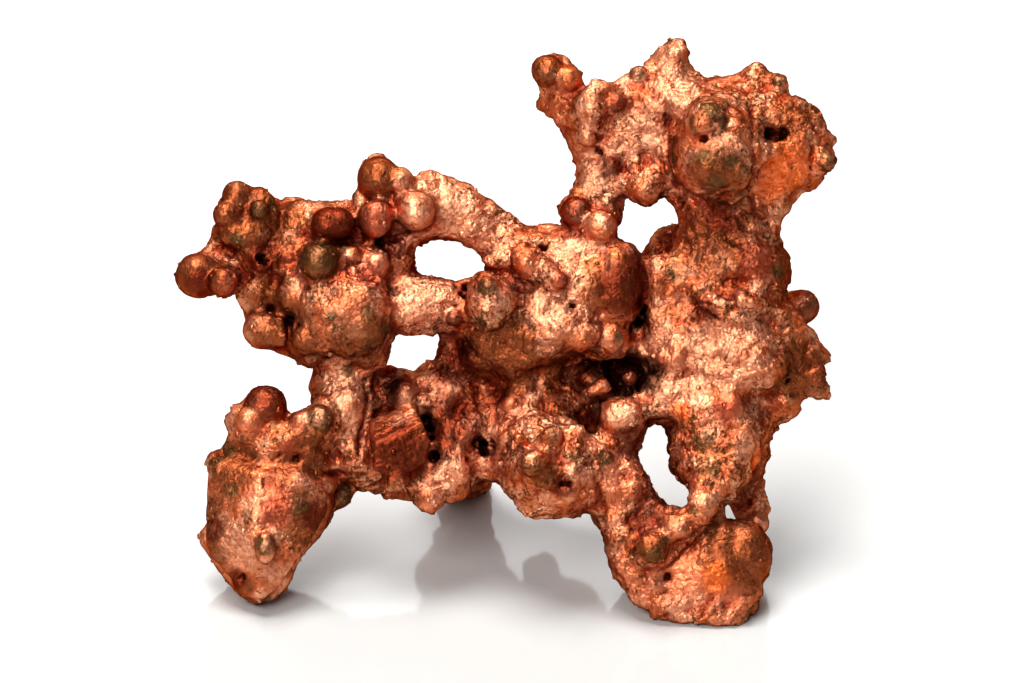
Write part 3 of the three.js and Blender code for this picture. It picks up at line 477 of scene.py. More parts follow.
# Round beads: across, depth, up, radius, how far sunk, and finish.
beads = [
    (-19.35, 2.8, 21.9, 1.4, 0.2, "brown"), (-17.75, 1.2, 21.5, 0.92, 0.2, "rose"),
    (-16.9, 2.4, 26.9, 0.88, 0.2, "brown"), (-15.5, 1.2, 26.0, 0.6, 0.2, "olive"),
    (-17.6, 1.8, 25.7, 0.8, 0.4, "brown"), (-15.4, 1.3, 22.7, 0.6, 0.5, "ruby"),
    (-13.6, 1.3, 23.0, 0.5, 0.6, "ruby"), (-11.2, 0.9, 25.1, 1.0, 0.3, "ruby"),
    (-10.6, 0.9, 25.15, 0.98, 0.3, "ruby"), (-8.2, 1.1, 25.6, 1.02, 0.3, "rose"),
    (-8.2, 1.1, 25.2, 0.95, 0.3, "rose"), (-9.3, 2.2, 26.8, 0.4, 0.4, "olive"),
    (-8.05, 2.6, 27.95, 1.34, 0.3, "brown"), (-6.75, 2.0, 27.8, 0.86, 0.1, "bare"),
    (-11.75, -0.1, 22.8, 1.15, 0.4, "olive"), (-9.7, 0.4, 23.2, 0.55, 0.4, "bare"),
    (-8.2, 0.9, 22.6, 0.82, 0.5, "bare"), (-5.7, 1.5, 25.9, 1.22, 0.4, "bare"),
    (-15.1, 2.8, 13.75, 1.28, 0.3, "ruby"), (-16.1, 2.1, 12.8, 0.85, 0.3, "pink"),
    (-16.95, 2.6, 13.1, 0.5, 0.3, "bare"), (-14.6, 1.7, 12.35, 0.42, 0.4, "olive"),
    (-12.9, 2.0, 12.75, 0.62, 0.5, "pink"), (-11.75, 1.5, 12.95, 0.84, 0.4, "olive"),
    (-1.25, -2.1, 21.15, 0.62, 0.3, "olive"), (1.1, 0.1, 22.6, 0.66, 0.5, "pink"),
    (3.15, -0.7, 21.6, 0.52, 0.5, "rose"), (4.25, 2.4, 25.85, 0.92, 0.2, "ruby"),
    (-3.35, 0.6, 19.3, 0.52, 0.6, "ruby"), (5.9, 1.6, 15.0, 0.5, 0.4, "bare"),
    (7.6, 2.6, 15.5, 0.46, 0.4, "pink"), (0.7, -1.8, 11.75, 0.42, 0.5, "bare"),
    (0.2, 1.5, 13.9, 0.6, 0.5, "pink"), (-0.2, 1.3, 11.7, 0.42, 0.5, "pink"),
    (6.1, 0.2, 10.4, 0.5, 0.6, "olive"), (5.8, 1.6, 24.9, 1.05, 0.5, "bare"),
    (11.7, -2.0, 31.15, 0.4, 0.2, "olive"), (11.7, -2.0, 31.55, 0.42, 0.2, "olive"),
    (8.15, 2.6, 34.45, 0.54, 0.2, "olive"), (19.85, 2.0, 29.0, 0.6, 0.2, "olive"),
    (20.25, 3.0, 30.4, 0.3, 0.2, "olive"), (2.45, 3.2, 34.7, 0.98, 0.2, "brown"),
    (3.85, 2.8, 34.2, 0.78, 0.2, "bare"), (6.75, 1.8, 32.65, 0.6, 0.5, "ruby"),
    (5.0, 1.8, 30.4, 0.46, 0.6, "bare"), (18.45, 7.0, 19.95, 1.05, 0.2, "ruby"),
    (13.9, -0.1, 13.7, 0.72, 0.7, "pink"), (12.4, 0.3, 11.6, 0.95, 0.85, "olive"),
    (10.6, 0.9, 17.0, 0.5, 0.6, "pink"), (9.6, 0.9, 16.7, 0.4, 0.5, "pink"),
    (16.9, 3.0, 34.0, 0.44, 0.3, "olive"), (15.6, 6.6, 6.4, 0.78, 0.3, "bare"),
    (19.5, 3.6, 15.2, 0.34, 0.3, "olive"), (19.85, 3.6, 14.85, 0.3, 0.3, "olive"),
    (19.95, 3.6, 14.4, 0.26, 0.3, "olive"),
]


# Beads that the skin would bury come forward until most of each stands clear.
def settledBeads(skinTree):
    settled = []
    for across, depth, up, radius, sunk, finish in beads:
        hit, normal, skinDepth = seenFromFront(skinTree, across, up)
        if hit is not None:
            depth = min(depth, skinDepth + sunk * radius)
        settled.append((standing(across, depth, up), radius, finish))
    return settled


rear = {
    "clusters": 13,
    "beadsEach": 4,
    "spread": 1.7,
    "smallest": 0.45,
    "largest": 1.2,
    "sunk": 0.5,
    "stains": 34,
    "smallestStain": 0.6,
    "largestStain": 2.0,
    "acrossRange": (-18, 18),
    "upRange": (6, 34),
    "leastFacing": 0.3,
    "seed": 4,
}


# The back has clusters of beads and stains of its own, as the front does.
def rearGrowth(skinTree):
    chance = random.Random(rear["seed"])
    grown = []
    stained = []

    def place():
        across = chance.uniform(*rear["acrossRange"])
        up = chance.uniform(*rear["upRange"])
        return across, up, seenFrom(-1, skinTree, across, up)[0]

    while len(grown) < rear["clusters"] * rear["beadsEach"]:
        middleAcross, middleUp, hit = place()
        if hit is None:
            continue
        for step in range(rear["beadsEach"]):
            across = chance.gauss(middleAcross, rear["spread"])
            up = chance.gauss(middleUp, rear["spread"])
            radius = chance.uniform(rear["smallest"], rear["largest"])
            hit, normal, depth = seenFrom(-1, skinTree, across, up)
            if hit is None or normal.dot(toWorld(0, 1, 0)) < rear["leastFacing"]:
                continue
            kind = chance.choice(("olive", "ruby", "pink", "bare"))
            grown.append((standing(across, depth - radius * rear["sunk"], up), radius, kind))
    while len(stained) < rear["stains"]:
        across, up, hit = place()
        if hit is not None:
            kind = chance.choice(("olive", "brown", "brown", "ruby", "creamHighlight", "pink"))
            radius = chance.uniform(rear["smallestStain"], rear["largestStain"])
            stained.append((hit, radius, softBorder, kind))
    return grown, stained


# Softer swellings of the skin: across, up, half width, half height and rise.
swellings = [
    (-16.3, 24.45, 1.85, 1.0, 0.6), (-15.2, 18.5, 1.35, 1.15, 0.4), (-12.6, 18.0, 0.85, 0.85, 0.45),
    (-9.0, 19.1, 1.85, 1.9, 0.4), (-13.3, 20.8, 1.0, 1.4, 0.3), (-13.2, 25.0, 1.0, 1.6, 0.3),
    (-1.15, 20.1, 1.4, 1.75, 0.5), (-0.6, 22.8, 1.0, 0.45, 0.5), (6.8, 21.3, 1.75, 2.7, 0.5),
    (12.4, 31.6, 1.25, 1.05, 0.6), (12.8, 29.0, 2.2, 2.3, 0.3), (5.25, 32.5, 1.0, 1.2, 0.75),
    (8.6, 27.5, 1.15, 1.35, 0.7), (9.0, 4.9, 1.1, 1.0, 0.4), (10.6, 6.2, 1.1, 0.9, 0.3),
    (12.2, 7.6, 1.1, 1.0, 0.3), (-9.9, 13.9, 1.1, 1.7, 0.3), (-3.6, 14.4, 1.2, 1.0, 0.4),
    (-4.9, 8.1, 1.0, 1.1, 0.4), (-3.0, 9.8, 0.55, 1.35, 0.45), (7.2, 13.1, 1.35, 1.25, 0.4),
    (4.6, 18.1, 1.1, 1.0, 0.4), (6.5, 18.0, 1.2, 1.2, 0.4), (2.0, 19.6, 1.1, 1.6, 0.3),
    (11.0, 22.0, 1.3, 1.6, 0.35), (12.0, 14.6, 1.5, 1.0, 0.3), (2.7, 11.85, 0.72, 0.5, 0.5),
    (1.6, 10.25, 0.85, 0.8, 0.55), (4.2, 11.0, 0.36, 0.95, 0.5), (5.6, 11.6, 0.6, 0.5, 0.3),
    (15.4, 34.6, 0.8, 0.6, 0.3), (14.6, 4.4, 1.9, 2.3, 0.3), (-15.1, 4.95, 0.62, 1.0, 1.3),
    (6.2, 4.2, 0.9, 1.3, 0.25), (-6.4, 14.5, 0.8, 0.9, 0.3),
]


# Swellings are smoother than the crumpled skin round them.
def swellingSpots(skinTree):
    found = []
    for across, up, halfWidth, halfHeight, rise in swellings:
        hit = seenFromFront(skinTree, across, up)[0]
        reach = min(halfWidth, halfHeight) * skin["swellingReach"]
        if hit is not None:
            found.append((hit, reach, softBorder, "calm"))
    return found


# Ridges that run over the skin: radius, rise and the places they pass, each across and up.
ridges = [
    (0.3, 0.3, [(-16.2, 26.9), (-15.6, 27.1), (-14.9, 26.8), (-14.5, 26.1), (-14.6, 25.3)]),
    (0.42, 0.3, [(-11.8, 8.9), (-10.2, 8.8), (-8.8, 8.8), (-7.4, 8.7), (-6.4, 9.0)]),
    (0.3, 0.2, [(-0.7, 10.8), (-0.2, 11.9), (1.0, 12.65), (3.2, 12.9), (5.2, 12.5), (6.3, 11.6)]),
    (0.16, 0.12, [(-0.6, 9.3), (0.8, 8.3), (2.6, 7.7)]),
    (0.16, 0.12, [(-0.1, 8.5), (1.3, 7.6), (3.1, 7.1)]),
    (0.16, 0.12, [(2.6, 8.9), (4.1, 8.4), (5.4, 8.3)]),
    (0.16, 0.1, [(-2.2, 19.5), (-1.2, 19.1), (-0.1, 19.5)]),
    (0.16, 0.1, [(-2.3, 19.0), (-1.2, 18.6), (0.0, 19.0)]),
    (0.5, 0.35, [(11.9, 21.0), (13.6, 20.8), (15.4, 20.1), (17.1, 19.3)]),
    (0.3, 0.25, [(12.9, 19.7), (14.2, 19.2), (15.8, 18.7)]),
    (0.22, 0.2, [(2.0, 19.2), (3.0, 18.7), (4.0, 18.9)]),
    (0.22, 0.2, [(0.4, 18.4), (1.6, 18.0), (2.8, 18.2)]),
    (0.25, 0.2, [(17.4, 18.5), (17.6, 16.8), (17.5, 15.2), (17.3, 13.5)]),
    (0.34, 0.3, [(13.3, 7.1), (12.1, 6.1), (11.0, 5.2), (9.9, 4.2), (9.2, 3.8)]),
    (0.3, 0.2, [(12.5, 6.3), (12.2, 5.2), (12.3, 4.1)]),
    (0.25, 0.2, [(15.8, 29.6), (16.8, 29.5), (17.6, 29.9)]),
    (0.2, 0.2, [(-3.9, 26.9), (-2.4, 26.2), (-1.2, 25.2)]),
    (0.3, 0.25, [(8.4, 31.6), (10.0, 32.2), (11.4, 33.0)]),
]


# Angular lumps, each the hull of its corners: across, up and how proud of the skin's mean plane.
blocks = [
    [
        (-18.75, 10.45, -0.3), (-17.4, 11.1, -0.9), (-15.8, 10.9, -0.7), (-13.0, 10.3, -0.4),
        (-11.3, 8.5, -0.5), (-11.2, 7.2, -0.5), (-12.2, 5.4, -0.3), (-13.6, 3.8, -0.3), (-14.6, 2.1, -0.3),
        (-15.4, 1.5, -0.3), (-16.9, 2.6, -0.3), (-18.6, 4.4, -0.3), (-18.9, 5.4, -0.3), (-18.35, 7.9, 0.0),
        (-18.2, 9.7, 0.2), (-15.6, 9.4, 1.1), (-16.0, 6.1, 1.1), (-15.5, 3.6, 0.6),
        (-13.1, 9.2, 0.7), (-13.6, 6.9, 0.5), (-14.0, 4.0, 0.1),
    ],
    [
        (-8.4, 11.4, 1.1), (-5.3, 12.6, 0.9), (-4.9, 11.6, 0.6), (-5.1, 10.3, 0.1), (-6.3, 9.5, 0.0),
        (-8.4, 9.7, 0.3), (-8.7, 12.9, -0.4), (-5.9, 13.9, -0.4),
    ],
    [
        (-16.3, 19.4, 0.5), (-14.0, 19.3, 0.5), (-13.8, 17.5, 0.4), (-16.0, 17.4, 0.4), (-16.5, 18.4, 0.3),
    ],
]


# Draws the core in where an angular lump will stand, so that its faces show.
def makeRoom(core, middle, reach):
    places = coordinatesOf(core.data).astype(float)
    normals = normalsOf(core.data)
    facing = np.clip(normals @ np.array(toWorld(0, -1, 0)) * 2, 0, 1)
    near = np.clip((1 - np.linalg.norm(places - np.array(middle), axis=1) / reach) * 3, 0, 1)
    places -= normals * (facing * near * skin["blockRoom"])[:, None]
    moveTo(core.data, places)


# The corners of an angular lump: in front near the skin's mean plane, and again further back.
def blockCorners(skinTree, block):
    middle = [sum(corner[axis] for corner in block) / len(block) for axis in (0, 1)]

    def drawnIn(across, up, share):
        return across + (middle[0] - across) * share, up + (middle[1] - up) * share

    rows = []
    depths = []
    for across, up, proud in block:
        for share in (0.3, 0.6):
            near = drawnIn(across, up, share)
            depth = seenFromFront(skinTree, *near)[2]
            if depth is not None:
                rows.append((1, near[0], near[1]))
                depths.append(depth)
    plane = np.linalg.lstsq(np.array(rows), np.array(depths), rcond=None)[0]
    corners = []
    for across, up, proud in block:
        depth = plane @ (1, across, up)
        inner = drawnIn(across, up, 0.2)
        corners.append(standing(across, depth - proud, up))
        corners.append(standing(inner[0], depth + skin["blockThickness"], inner[1]))
    return corners


def shapeOf(shape):
    places = np.array([vertex.co for vertex in shape.verts])
    shape.verts.index_update()
    faces = [[vertex.index for vertex in face.verts] for face in shape.faces]
    shape.free()
    return places, faces


def ballShape(roundness):
    shape = bmesh.new()
    bmesh.ops.create_icosphere(shape, subdivisions=roundness, radius=1)
    return shapeOf(shape)


def hullShape(corners):
    shape = bmesh.new()
    points = [shape.verts.new(corner) for corner in corners]
    bmesh.ops.convex_hull(shape, input=points)
    inside = [vertex for vertex in shape.verts if not vertex.link_faces]
    bmesh.ops.delete(shape, geom=inside, context="VERTS")
    bmesh.ops.recalc_face_normals(shape, faces=shape.faces)
    return shapeOf(shape)


# Beads, swellings, ridges and angular lumps laid on the core, and fused with it.
def addForms(core, settled):
    skinTree = skinTreeOf(core)
    hulls = [blockCorners(skinTree, block) for block in blocks]
    rooms = []
    for corners in hulls:
        middle = sum(corners, Vector()) / len(corners)
        rooms.append((middle, max((corner - middle).length for corner in corners)))
        makeRoom(core, *rooms[-1])
    parts = [(coordinatesOf(core.data), [list(face.vertices) for face in core.data.polygons])]
    balls = {roundness: ballShape(roundness) for roundness in (2, 3)}
    axes = np.array([toWorld(1, 0, 0), toWorld(0, 1, 0), toWorld(0, 0, 1)])

    def ball(middle, halfWidth, halfDepth, halfHeight, roundness):
        places, faces = balls[roundness]
        parts.append((places * (halfWidth, halfDepth, halfHeight) @ axes + np.array(middle), faces))

    for across, up, halfWidth, halfHeight, rise in swellings:
        skinDepth = seenFromFront(skinTree, across, up)[2]
        if skinDepth is None:
            print("no skin behind the swelling at", across, up)
            continue
        halfDepth = min(halfWidth, halfHeight)
        ball(standing(across, skinDepth + halfDepth - rise, up), halfWidth, halfDepth, halfHeight, 3)
    for radius, rise, line in ridges:
        for across, up in stepsAlong(line, radius * 0.5):
            skinDepth = seenFromFront(skinTree, across, up)[2]
            if skinDepth is not None:
                ball(standing(across, skinDepth + radius - rise, up), radius, radius, radius, 2)
    for middle, radius, finish in settled:
        ball(middle, radius, radius, radius, 3)
    parts += [hullShape(corners) for corners in hulls]
    places = []
    faces = []
    for partPlaces, partFaces in parts:
        faces += [[index + len(places) for index in face] for face in partFaces]
        places += partPlaces.tolist()
    core.data.clear_geometry()
    core.data.from_pydata(places, [], faces)
    remeshed(core, skin["voxel"])
    smoothed(core, skin["lastSmoothing"])
    return rooms


drift = {
    "cloudScale": 0.42,
    "sheenScale": 0.75,
    "filmScale": 0.6,
}


# Slow drifts of tone that the materials read: cloud for tarnish, sheen for the bright patches.
def drifted(tree, geometry):
    place = tree.nodes.new("GeometryNodeInputPosition").outputs[0]
    for name, seed in (("cloud", 2.2), ("sheen", 6.1), ("film", 9.4)):
        settings = {"Vector": place, "W": seed, "Scale": drift[name + "Scale"], "Detail": 4.0}
        noise = addNode(tree, "ShaderNodeTexNoise", settings, noise_dimensions="4D").outputs[0]
        geometry = addNode(
            tree,
            "GeometryNodeStoreNamedAttribute",
            {"Geometry": geometry, "Name": name, "Value": noise},
            data_type="FLOAT",
            domain="POINT",
        ).outputs[0]
    return geometry


# The crumpled skin: soft blobs and ridges, tilted pebbles and chips, and a few round pits.
def crumpleTree():
    sizes = {
        "Blob Height": skin["blobHeight"],
        "Blob Size": skin["blobSize"],
        "Crease Height": skin["creaseHeight"],
        "Crease Size": skin["creaseSize"],
        "Pebble Tilt": skin["pebbleTilt"],
        "Pebble Size": skin["pebbleSize"],
        "Chip Tilt": skin["chipTilt"],
        "Chip Size": skin["chipSize"],
        "Bead Calm": skin["beadCalm"],
        "Pit Depth": skin["pitDepth"],
        "Pit Spacing": skin["pitSpacing"],
        "Pit Width": skin["pitWidth"],
        "Swell": skin["swell"],
    }
    tree = newGeometryTree("Crumpled Skin", sizes)
    source = tree.nodes.new("NodeGroupInput").outputs
    place = tree.nodes.new("GeometryNodeInputPosition").outputs[0]

    def noiseOf(size, detail, seed):
        scale = maths(tree, "DIVIDE", 1.0, size)
        settings = {"Vector": place, "W": seed, "Scale": scale, "Detail": detail, "Roughness": 0.5}
        return addNode(tree, "ShaderNodeTexNoise", settings, noise_dimensions="4D").outputs[0]

    def cellsOf(size, seed):
        scale = maths(tree, "DIVIDE", 1.0, size)
        settings = {"Vector": place, "W": seed, "Scale": scale}
        node = addNode(tree, "ShaderNodeTexVoronoi", settings, voronoi_dimensions="4D", feature="F1")
        return node.outputs["Distance"]

    def billow(size, seed):
        centred = maths(tree, "SUBTRACT", noiseOf(size, 1.0, seed), 0.5)
        return maths(tree, "SUBTRACT", maths(tree, "ABSOLUTE", maths(tree, "MULTIPLY", centred, 5.0)), 0.4)

    blob = maths(tree, "MULTIPLY", billow(source["Blob Size"], 3.1), source["Blob Height"])
    crease = maths(tree, "MULTIPLY", billow(source["Crease Size"], 8.4), source["Crease Height"])
    pebble = tiltedCells(tree, place, source["Pebble Size"])[0]
    pebble = maths(tree, "MULTIPLY", pebble, source["Pebble Tilt"])
    rim = maths(tree, "MULTIPLY", source["Pit Width"], 0.5)
    dent = between(tree, cellsOf(source["Pit Spacing"], 1.3), rim, source["Pit Width"], 1.0, 0.0)
    dent = maths(tree, "MULTIPLY", dent, source["Pit Depth"])
    chip = tiltedCells(tree, place, source["Chip Size"])[0]
    chip = maths(tree, "MULTIPLY", chip, source["Chip Tilt"])
    height = maths(tree, "ADD", maths(tree, "ADD", blob, crease), maths(tree, "ADD", pebble, chip))
    height = maths(tree, "SUBTRACT", height, dent)
    calm = addNode(tree, "GeometryNodeInputNamedAttribute", {"Name": "calm"}, data_type="FLOAT").outputs[0]
    calm = maths(tree, "SUBTRACT", 1.0, maths(tree, "MULTIPLY", calm, source["Bead Calm"]))
    height = maths(tree, "ADD", maths(tree, "MULTIPLY", height, calm), source["Swell"])
    moved = drifted(tree, pushedOut(tree, source["Geometry"], height))
    finishTree(tree, moved, source["Material"])
    return tree, sizes


# Small holes in the skin, as seen from the front: across, up, radius and depth.
pits = [
    (-15.2, 23.1, 0.5, 0.9), (-14.8, 19.85, 0.24, 0.5), (-13.5, 19.1, 0.34, 0.6),
    (-13.2, 18.8, 0.26, 0.6), (-11.3, 16.7, 0.24, 0.4), (-9.6, 16.85, 0.24, 0.4), (-7.4, 20.7, 0.34, 0.6),
    (-2.75, 20.7, 0.3, 0.9), (-2.6, 21.2, 0.28, 0.8), (-7.9, 24.0, 0.4, 0.7), (2.2, 23.7, 0.34, 0.6),
    (4.1, 20.0, 0.2, 0.4), (8.4, 19.7, 0.3, 1.0), (8.0, 19.1, 0.32, 1.0), (7.7, 18.6, 0.26, 0.8),
    (5.75, 29.6, 0.2, 0.4), (16.3, 30.75, 0.42, 0.6), (16.8, 30.55, 0.42, 0.7), (17.15, 30.8, 0.36, 0.6),
    (19.0, 28.6, 0.2, 0.4), (12.2, 30.4, 0.24, 0.3), (-17.15, 21.9, 0.16, 0.3), (-14.3, 10.7, 0.18, 0.3),
    (-13.2, 10.45, 0.26, 0.4), (-16.6, 3.1, 0.24, 0.4), (3.75, 8.9, 0.24, 0.5), (3.4, 8.95, 0.2, 0.5),
    (2.3, 9.0, 0.2, 0.3), (9.9, 3.1, 0.26, 0.4), (17.5, 15.3, 0.16, 0.4), (17.5, 15.7, 0.16, 0.4),
    (17.5, 16.1, 0.16, 0.4), (-5.1, 12.9, 0.34, 1.1), (-4.95, 12.4, 0.34, 1.1), (-4.85, 11.8, 0.26, 0.9),
    (-4.6, 10.6, 0.36, 0.9), (-2.1, 11.5, 0.3, 0.9), (-1.5, 11.4, 0.34, 0.9), (-0.9, 11.5, 0.24, 0.8),
    (-1.45, 10.9, 0.26, 0.8),
]


# Grooves between the lumps: width, depth and the places they pass.
grooves = [
    (0.22, 0.5, [(-11.4, 9.6), (-10.0, 9.5), (-8.9, 9.4)]),
    (0.2, 0.4, [(13.0, 6.5), (12.0, 5.6), (11.0, 4.7), (10.0, 3.7)]),
    (0.3, 0.5, [(11.4, 20.3), (12.1, 19.6), (12.9, 19.2)]),
    (0.2, 0.4, [(12.9, 20.2), (14.2, 19.8), (15.6, 19.4)]),
    (0.25, 0.5, [(-12.4, 24.2), (-11.6, 23.9), (-10.2, 24.0), (-9.2, 24.2)]),
    (0.3, 0.6, [(-7.6, 24.1), (-6.9, 24.2), (-6.2, 24.5)]),
    (0.25, 0.5, [(-14.4, 24.2), (-14.2, 25.2), (-14.1, 26.0)]),
    (0.2, 0.5, [(-2.9, 18.2), (-2.3, 17.2), (-1.7, 16.6)]),
    (0.2, 0.4, [(-2.6, 15.8), (-2.0, 14.8), (-1.9, 13.6)]),
    (0.2, 0.4, [(-9.0, 15.4), (-8.7, 14.4), (-8.8, 13.2), (-9.2, 12.0), (-9.3, 10.6)]),
    (0.2, 0.4, [(10.0, 33.2), (9.9, 31.8), (10.0, 30.4), (9.9, 28.8), (10.6, 27.4)]),
    (0.2, 0.4, [(15.2, 32.2), (15.3, 30.6), (15.4, 28.8), (15.0, 27.2)]),
    (0.2, 0.4, [(8.6, 22.6), (8.9, 21.4), (8.8, 20.2)]),
    (0.18, 0.35, [(5.4, 9.4), (5.9, 8.2), (6.0, 7.0)]),
]


def grooveSteps():
    return [
        (across, up, width, depth / 3)
        for width, depth, line in grooves
        for across, up in stepsAlong(line, width * 0.7)
    ]


# Presses the pits and grooves in and marks how dark they are: painted near-black shade, darker for deeper
# pits, joined by the dark cavities among the stains.
def pressPits(made, skinTree):
    places = coordinatesOf(made.data).astype(float)
    cave = spotFactor(places, stainSpots(skinTree), "cave") * skin["caveShade"]
    for across, up, radius, depth in pits + grooveSteps():
        hit, normal = seenFromFront(skinTree, across, up)[:2]
        if hit is None:
            print("no skin behind the pit at", across, up)
            continue
        away = np.linalg.norm(places - np.array(hit), axis=1) / radius
        bowl = np.clip(1 - (away / skin["pitReach"]) ** 4, 0, 1)
        inward = np.array((toWorld(0, 1, 0) - normal).normalized())
        places += inward * (bowl * depth)[:, None]
        # painted shade: near black inside each pit and groove
        dark = np.clip((skin["pitReach"] - away) / 0.5, 0, 1) * min(depth / 0.5, 1)
        cave = np.maximum(cave, dark)
    moveTo(made.data, places)
    storeFactor(made.data, "cave", cave)


# Stains on the skin for each finish, as seen from the front: across, up and radius. Some of these marks
# are painted light: the near-black cavities are painted shade, the cream-coloured patches painted
# highlight, and the ruby red partly oxide and partly painted shade.
stains = {
    "olive": [
        (10.5, 22.2, 0.8), (14.85, 28.2, 0.6), (14.6, 27.2, 0.6), (10.4, 30.3, 0.5), (10.4, 29.1, 0.5),
        (12.6, 32.3, 0.7), (13.4, 31.4, 0.5), (2.7, 11.85, 0.6), (1.5, 10.1, 0.65), (4.2, 10.5, 0.45),
        (5.9, 10.6, 0.5), (15.3, 1.0, 0.7), (-13.0, 8.0, 0.5), (-13.3, 7.2, 0.35), (-12.5, 8.3, 0.4),
        (-13.7, 5.6, 0.35), (-15.1, 5.1, 0.75), (-18.2, 10.5, 0.6), (-17.4, 10.9, 0.5), (10.1, 36.6, 0.6),
        (14.9, 35.4, 0.7), (-7.6, 18.6, 0.6), (-8.6, 17.6, 0.7), (-11.1, 19.3, 0.4), (-16.9, 24.2, 0.5),
        (-14.6, 26.2, 0.5), (-1.6, 19.0, 0.4), (-1.25, 21.2, 0.6), (8.9, 4.4, 0.7), (9.7, 5.5, 0.4),
        (7.9, 4.9, 0.4), (6.9, 18.0, 0.5), (5.4, 17.3, 0.5), (13.0, 9.6, 0.5), (11.6, 7.3, 0.4),
        (-10.0, 16.0, 0.5), (17.2, 25.0, 0.7), (16.8, 22.2, 0.6), (-17.2, 8.4, 0.6), (-12.9, 7.6, 0.6),
        (-16.2, 6.9, 0.5), (-9.6, 20.6, 0.5), (-8.8, 19.6, 0.5), (12.9, 27.6, 0.7), (12.2, 29.2, 0.6),
        (13.9, 29.0, 0.5), (-15.3, 1.6, 0.6),
    ],
    "brown": [
        (-16.3, 24.6, 1.3), (-15.8, 25.5, 2.6), (-19.2, 21.8, 1.7), (-11.6, 22.8, 1.4),
        (-11.0, 25.1, 1.4), (-9.0, 17.4, 2.0), (-13.8, 17.9, 2.2), (-14.6, 20.0, 1.6), (7.2, 21.4, 2.0),
        (-0.5, 16.9, 2.6), (3.0, 16.6, 1.6), (2.4, 9.4, 1.0), (14.6, 4.6, 2.3), (9.0, 4.9, 1.1),
        (12.9, 28.4, 1.7), (17.4, 31.6, 1.3), (12.4, 24.0, 2.0), (17.6, 22.0, 1.6), (-17.0, 10.1, 1.5),
        (18.4, 15.8, 1.8), (-12.2, 10.6, 1.3), (-6.8, 10.8, 1.9), (-14.0, 9.9, 1.0), (-12.4, 6.2, 1.2),
        (-18.6, 7.2, 0.8), (-18.3, 4.4, 0.8), (-16.6, 2.6, 0.8),
    ],
    # painted shade: near-black spots in the deep cavities
    "cave": [
        (-5.0, 12.3, 0.3), (7.0, 15.9, 1.9), (8.9, 15.6, 0.9), (5.2, 16.4, 0.7), (8.5, 19.4, 0.6),
        (8.2, 20.2, 0.4), (-2.6, 17.4, 0.6), (-3.9, 15.9, 0.5), (-7.3, 20.9, 0.4), (-7.2, 15.0, 0.7),
    ],
    # dark ruby red: partly red oxide, partly painted shade in recesses and on the central dome's shaded
    # right side
    "ruby": [
        (7.4, 21.2, 1.8), (-6.8, 11.0, 2.0), (-3.6, 12.6, 2.2), (-7.4, 14.9, 1.4), (12.3, 19.5, 0.8),
        (-15.1, 23.2, 1.1), (-7.3, 24.1, 1.1), (-9.8, 24.0, 0.9), (-3.3, 16.6, 1.8), (-0.6, 15.0, 1.2),
        (8.3, 22.6, 1.0), (6.4, 28.6, 0.9), (7.6, 11.6, 1.2), (3.4, 8.8, 0.8), (-19.3, 21.4, 1.0),
        (13.6, 25.6, 1.2), (9.2, 8.0, 1.2), (8.4, 6.6, 1.0), (10.2, 24.4, 1.0), (-15.0, 9.1, 0.5),
        (-18.3, 6.0, 0.8), (-16.9, 3.0, 0.7), (-11.9, 7.0, 1.1),
    ],
    # painted highlight: lighter cream-coloured patches where the metal catches the light
    "creamHighlight": [
        (2.8, 12.7, 0.7), (5.3, 11.6, 0.6), (-4.0, 26.2, 2.0), (-1.6, 24.8, 1.4), (-5.4, 20.3, 1.9),
        (-4.8, 18.9, 1.2), (0.8, 20.6, 1.3), (3.4, 22.8, 1.4), (3.2, 20.4, 1.2), (2.2, 18.2, 1.2),
        (12.4, 22.8, 1.2), (13.8, 16.8, 2.4), (14.8, 18.6, 1.2), (11.0, 15.0, 1.3), (9.4, 17.8, 1.0),
        (-17.0, 5.4, 0.9), (-16.4, 4.2, 0.8), (-9.9, 14.2, 1.6), (10.4, 33.4, 1.4), (8.6, 31.2, 1.0),
        (7.6, 29.8, 0.8), (5.8, 27.8, 1.0), (4.4, 29.6, 0.9), (13.2, 29.8, 0.9), (16.4, 29.5, 0.6),
        (9.9, 35.8, 0.8), (7.2, 13.4, 0.9), (-3.2, 9.6, 0.7), (4.9, 33.2, 0.8), (1.2, 13.0, 0.8),
        (11.4, 8.2, 0.6),
    ],
    "calm": [
        (7.0, 21.4, 2.1), (14.4, 4.6, 2.0), (-4.0, 26.0, 1.6), (-9.0, 19.2, 1.3), (11.4, 3.4, 1.4),
        (16.4, 9.0, 1.2), (-11.0, 9.0, 1.0),
    ],
    "rose": [
        (-19.0, 21.7, 0.7), (-15.9, 22.6, 0.5), (-13.4, 10.9, 0.8), (10.6, 8.6, 0.9), (15.6, 22.9, 1.2),
        (13.5, 13.6, 0.8), (-8.6, 21.6, 1.0), (3.6, 25.0, 0.8), (12.2, 25.6, 1.1), (-14.4, 7.2, 0.9),
    ],
    "glow": [
        (12.9, 3.0, 0.8), (17.4, 28.4, 1.4), (16.4, 27.4, 0.9), (10.8, 13.4, 0.5), (15.6, 10.2, 1.0),
    ],
    "pink": [
        (13.6, 1.8, 1.3), (-14.6, 7.6, 1.3), (10.8, 3.2, 1.5), (7.0, 3.0, 1.2), (7.0, 9.4, 1.0),
        (-9.6, 20.0, 1.0),
    ],
}


def stainSpots(skinTree):
    found = []
    for finish, marks in stains.items():
        for across, up, radius in marks:
            hit = seenFromFront(skinTree, across, up)[0]
            if hit is not None:
                found.append((hit, radius, softBorder, finish))
    return found


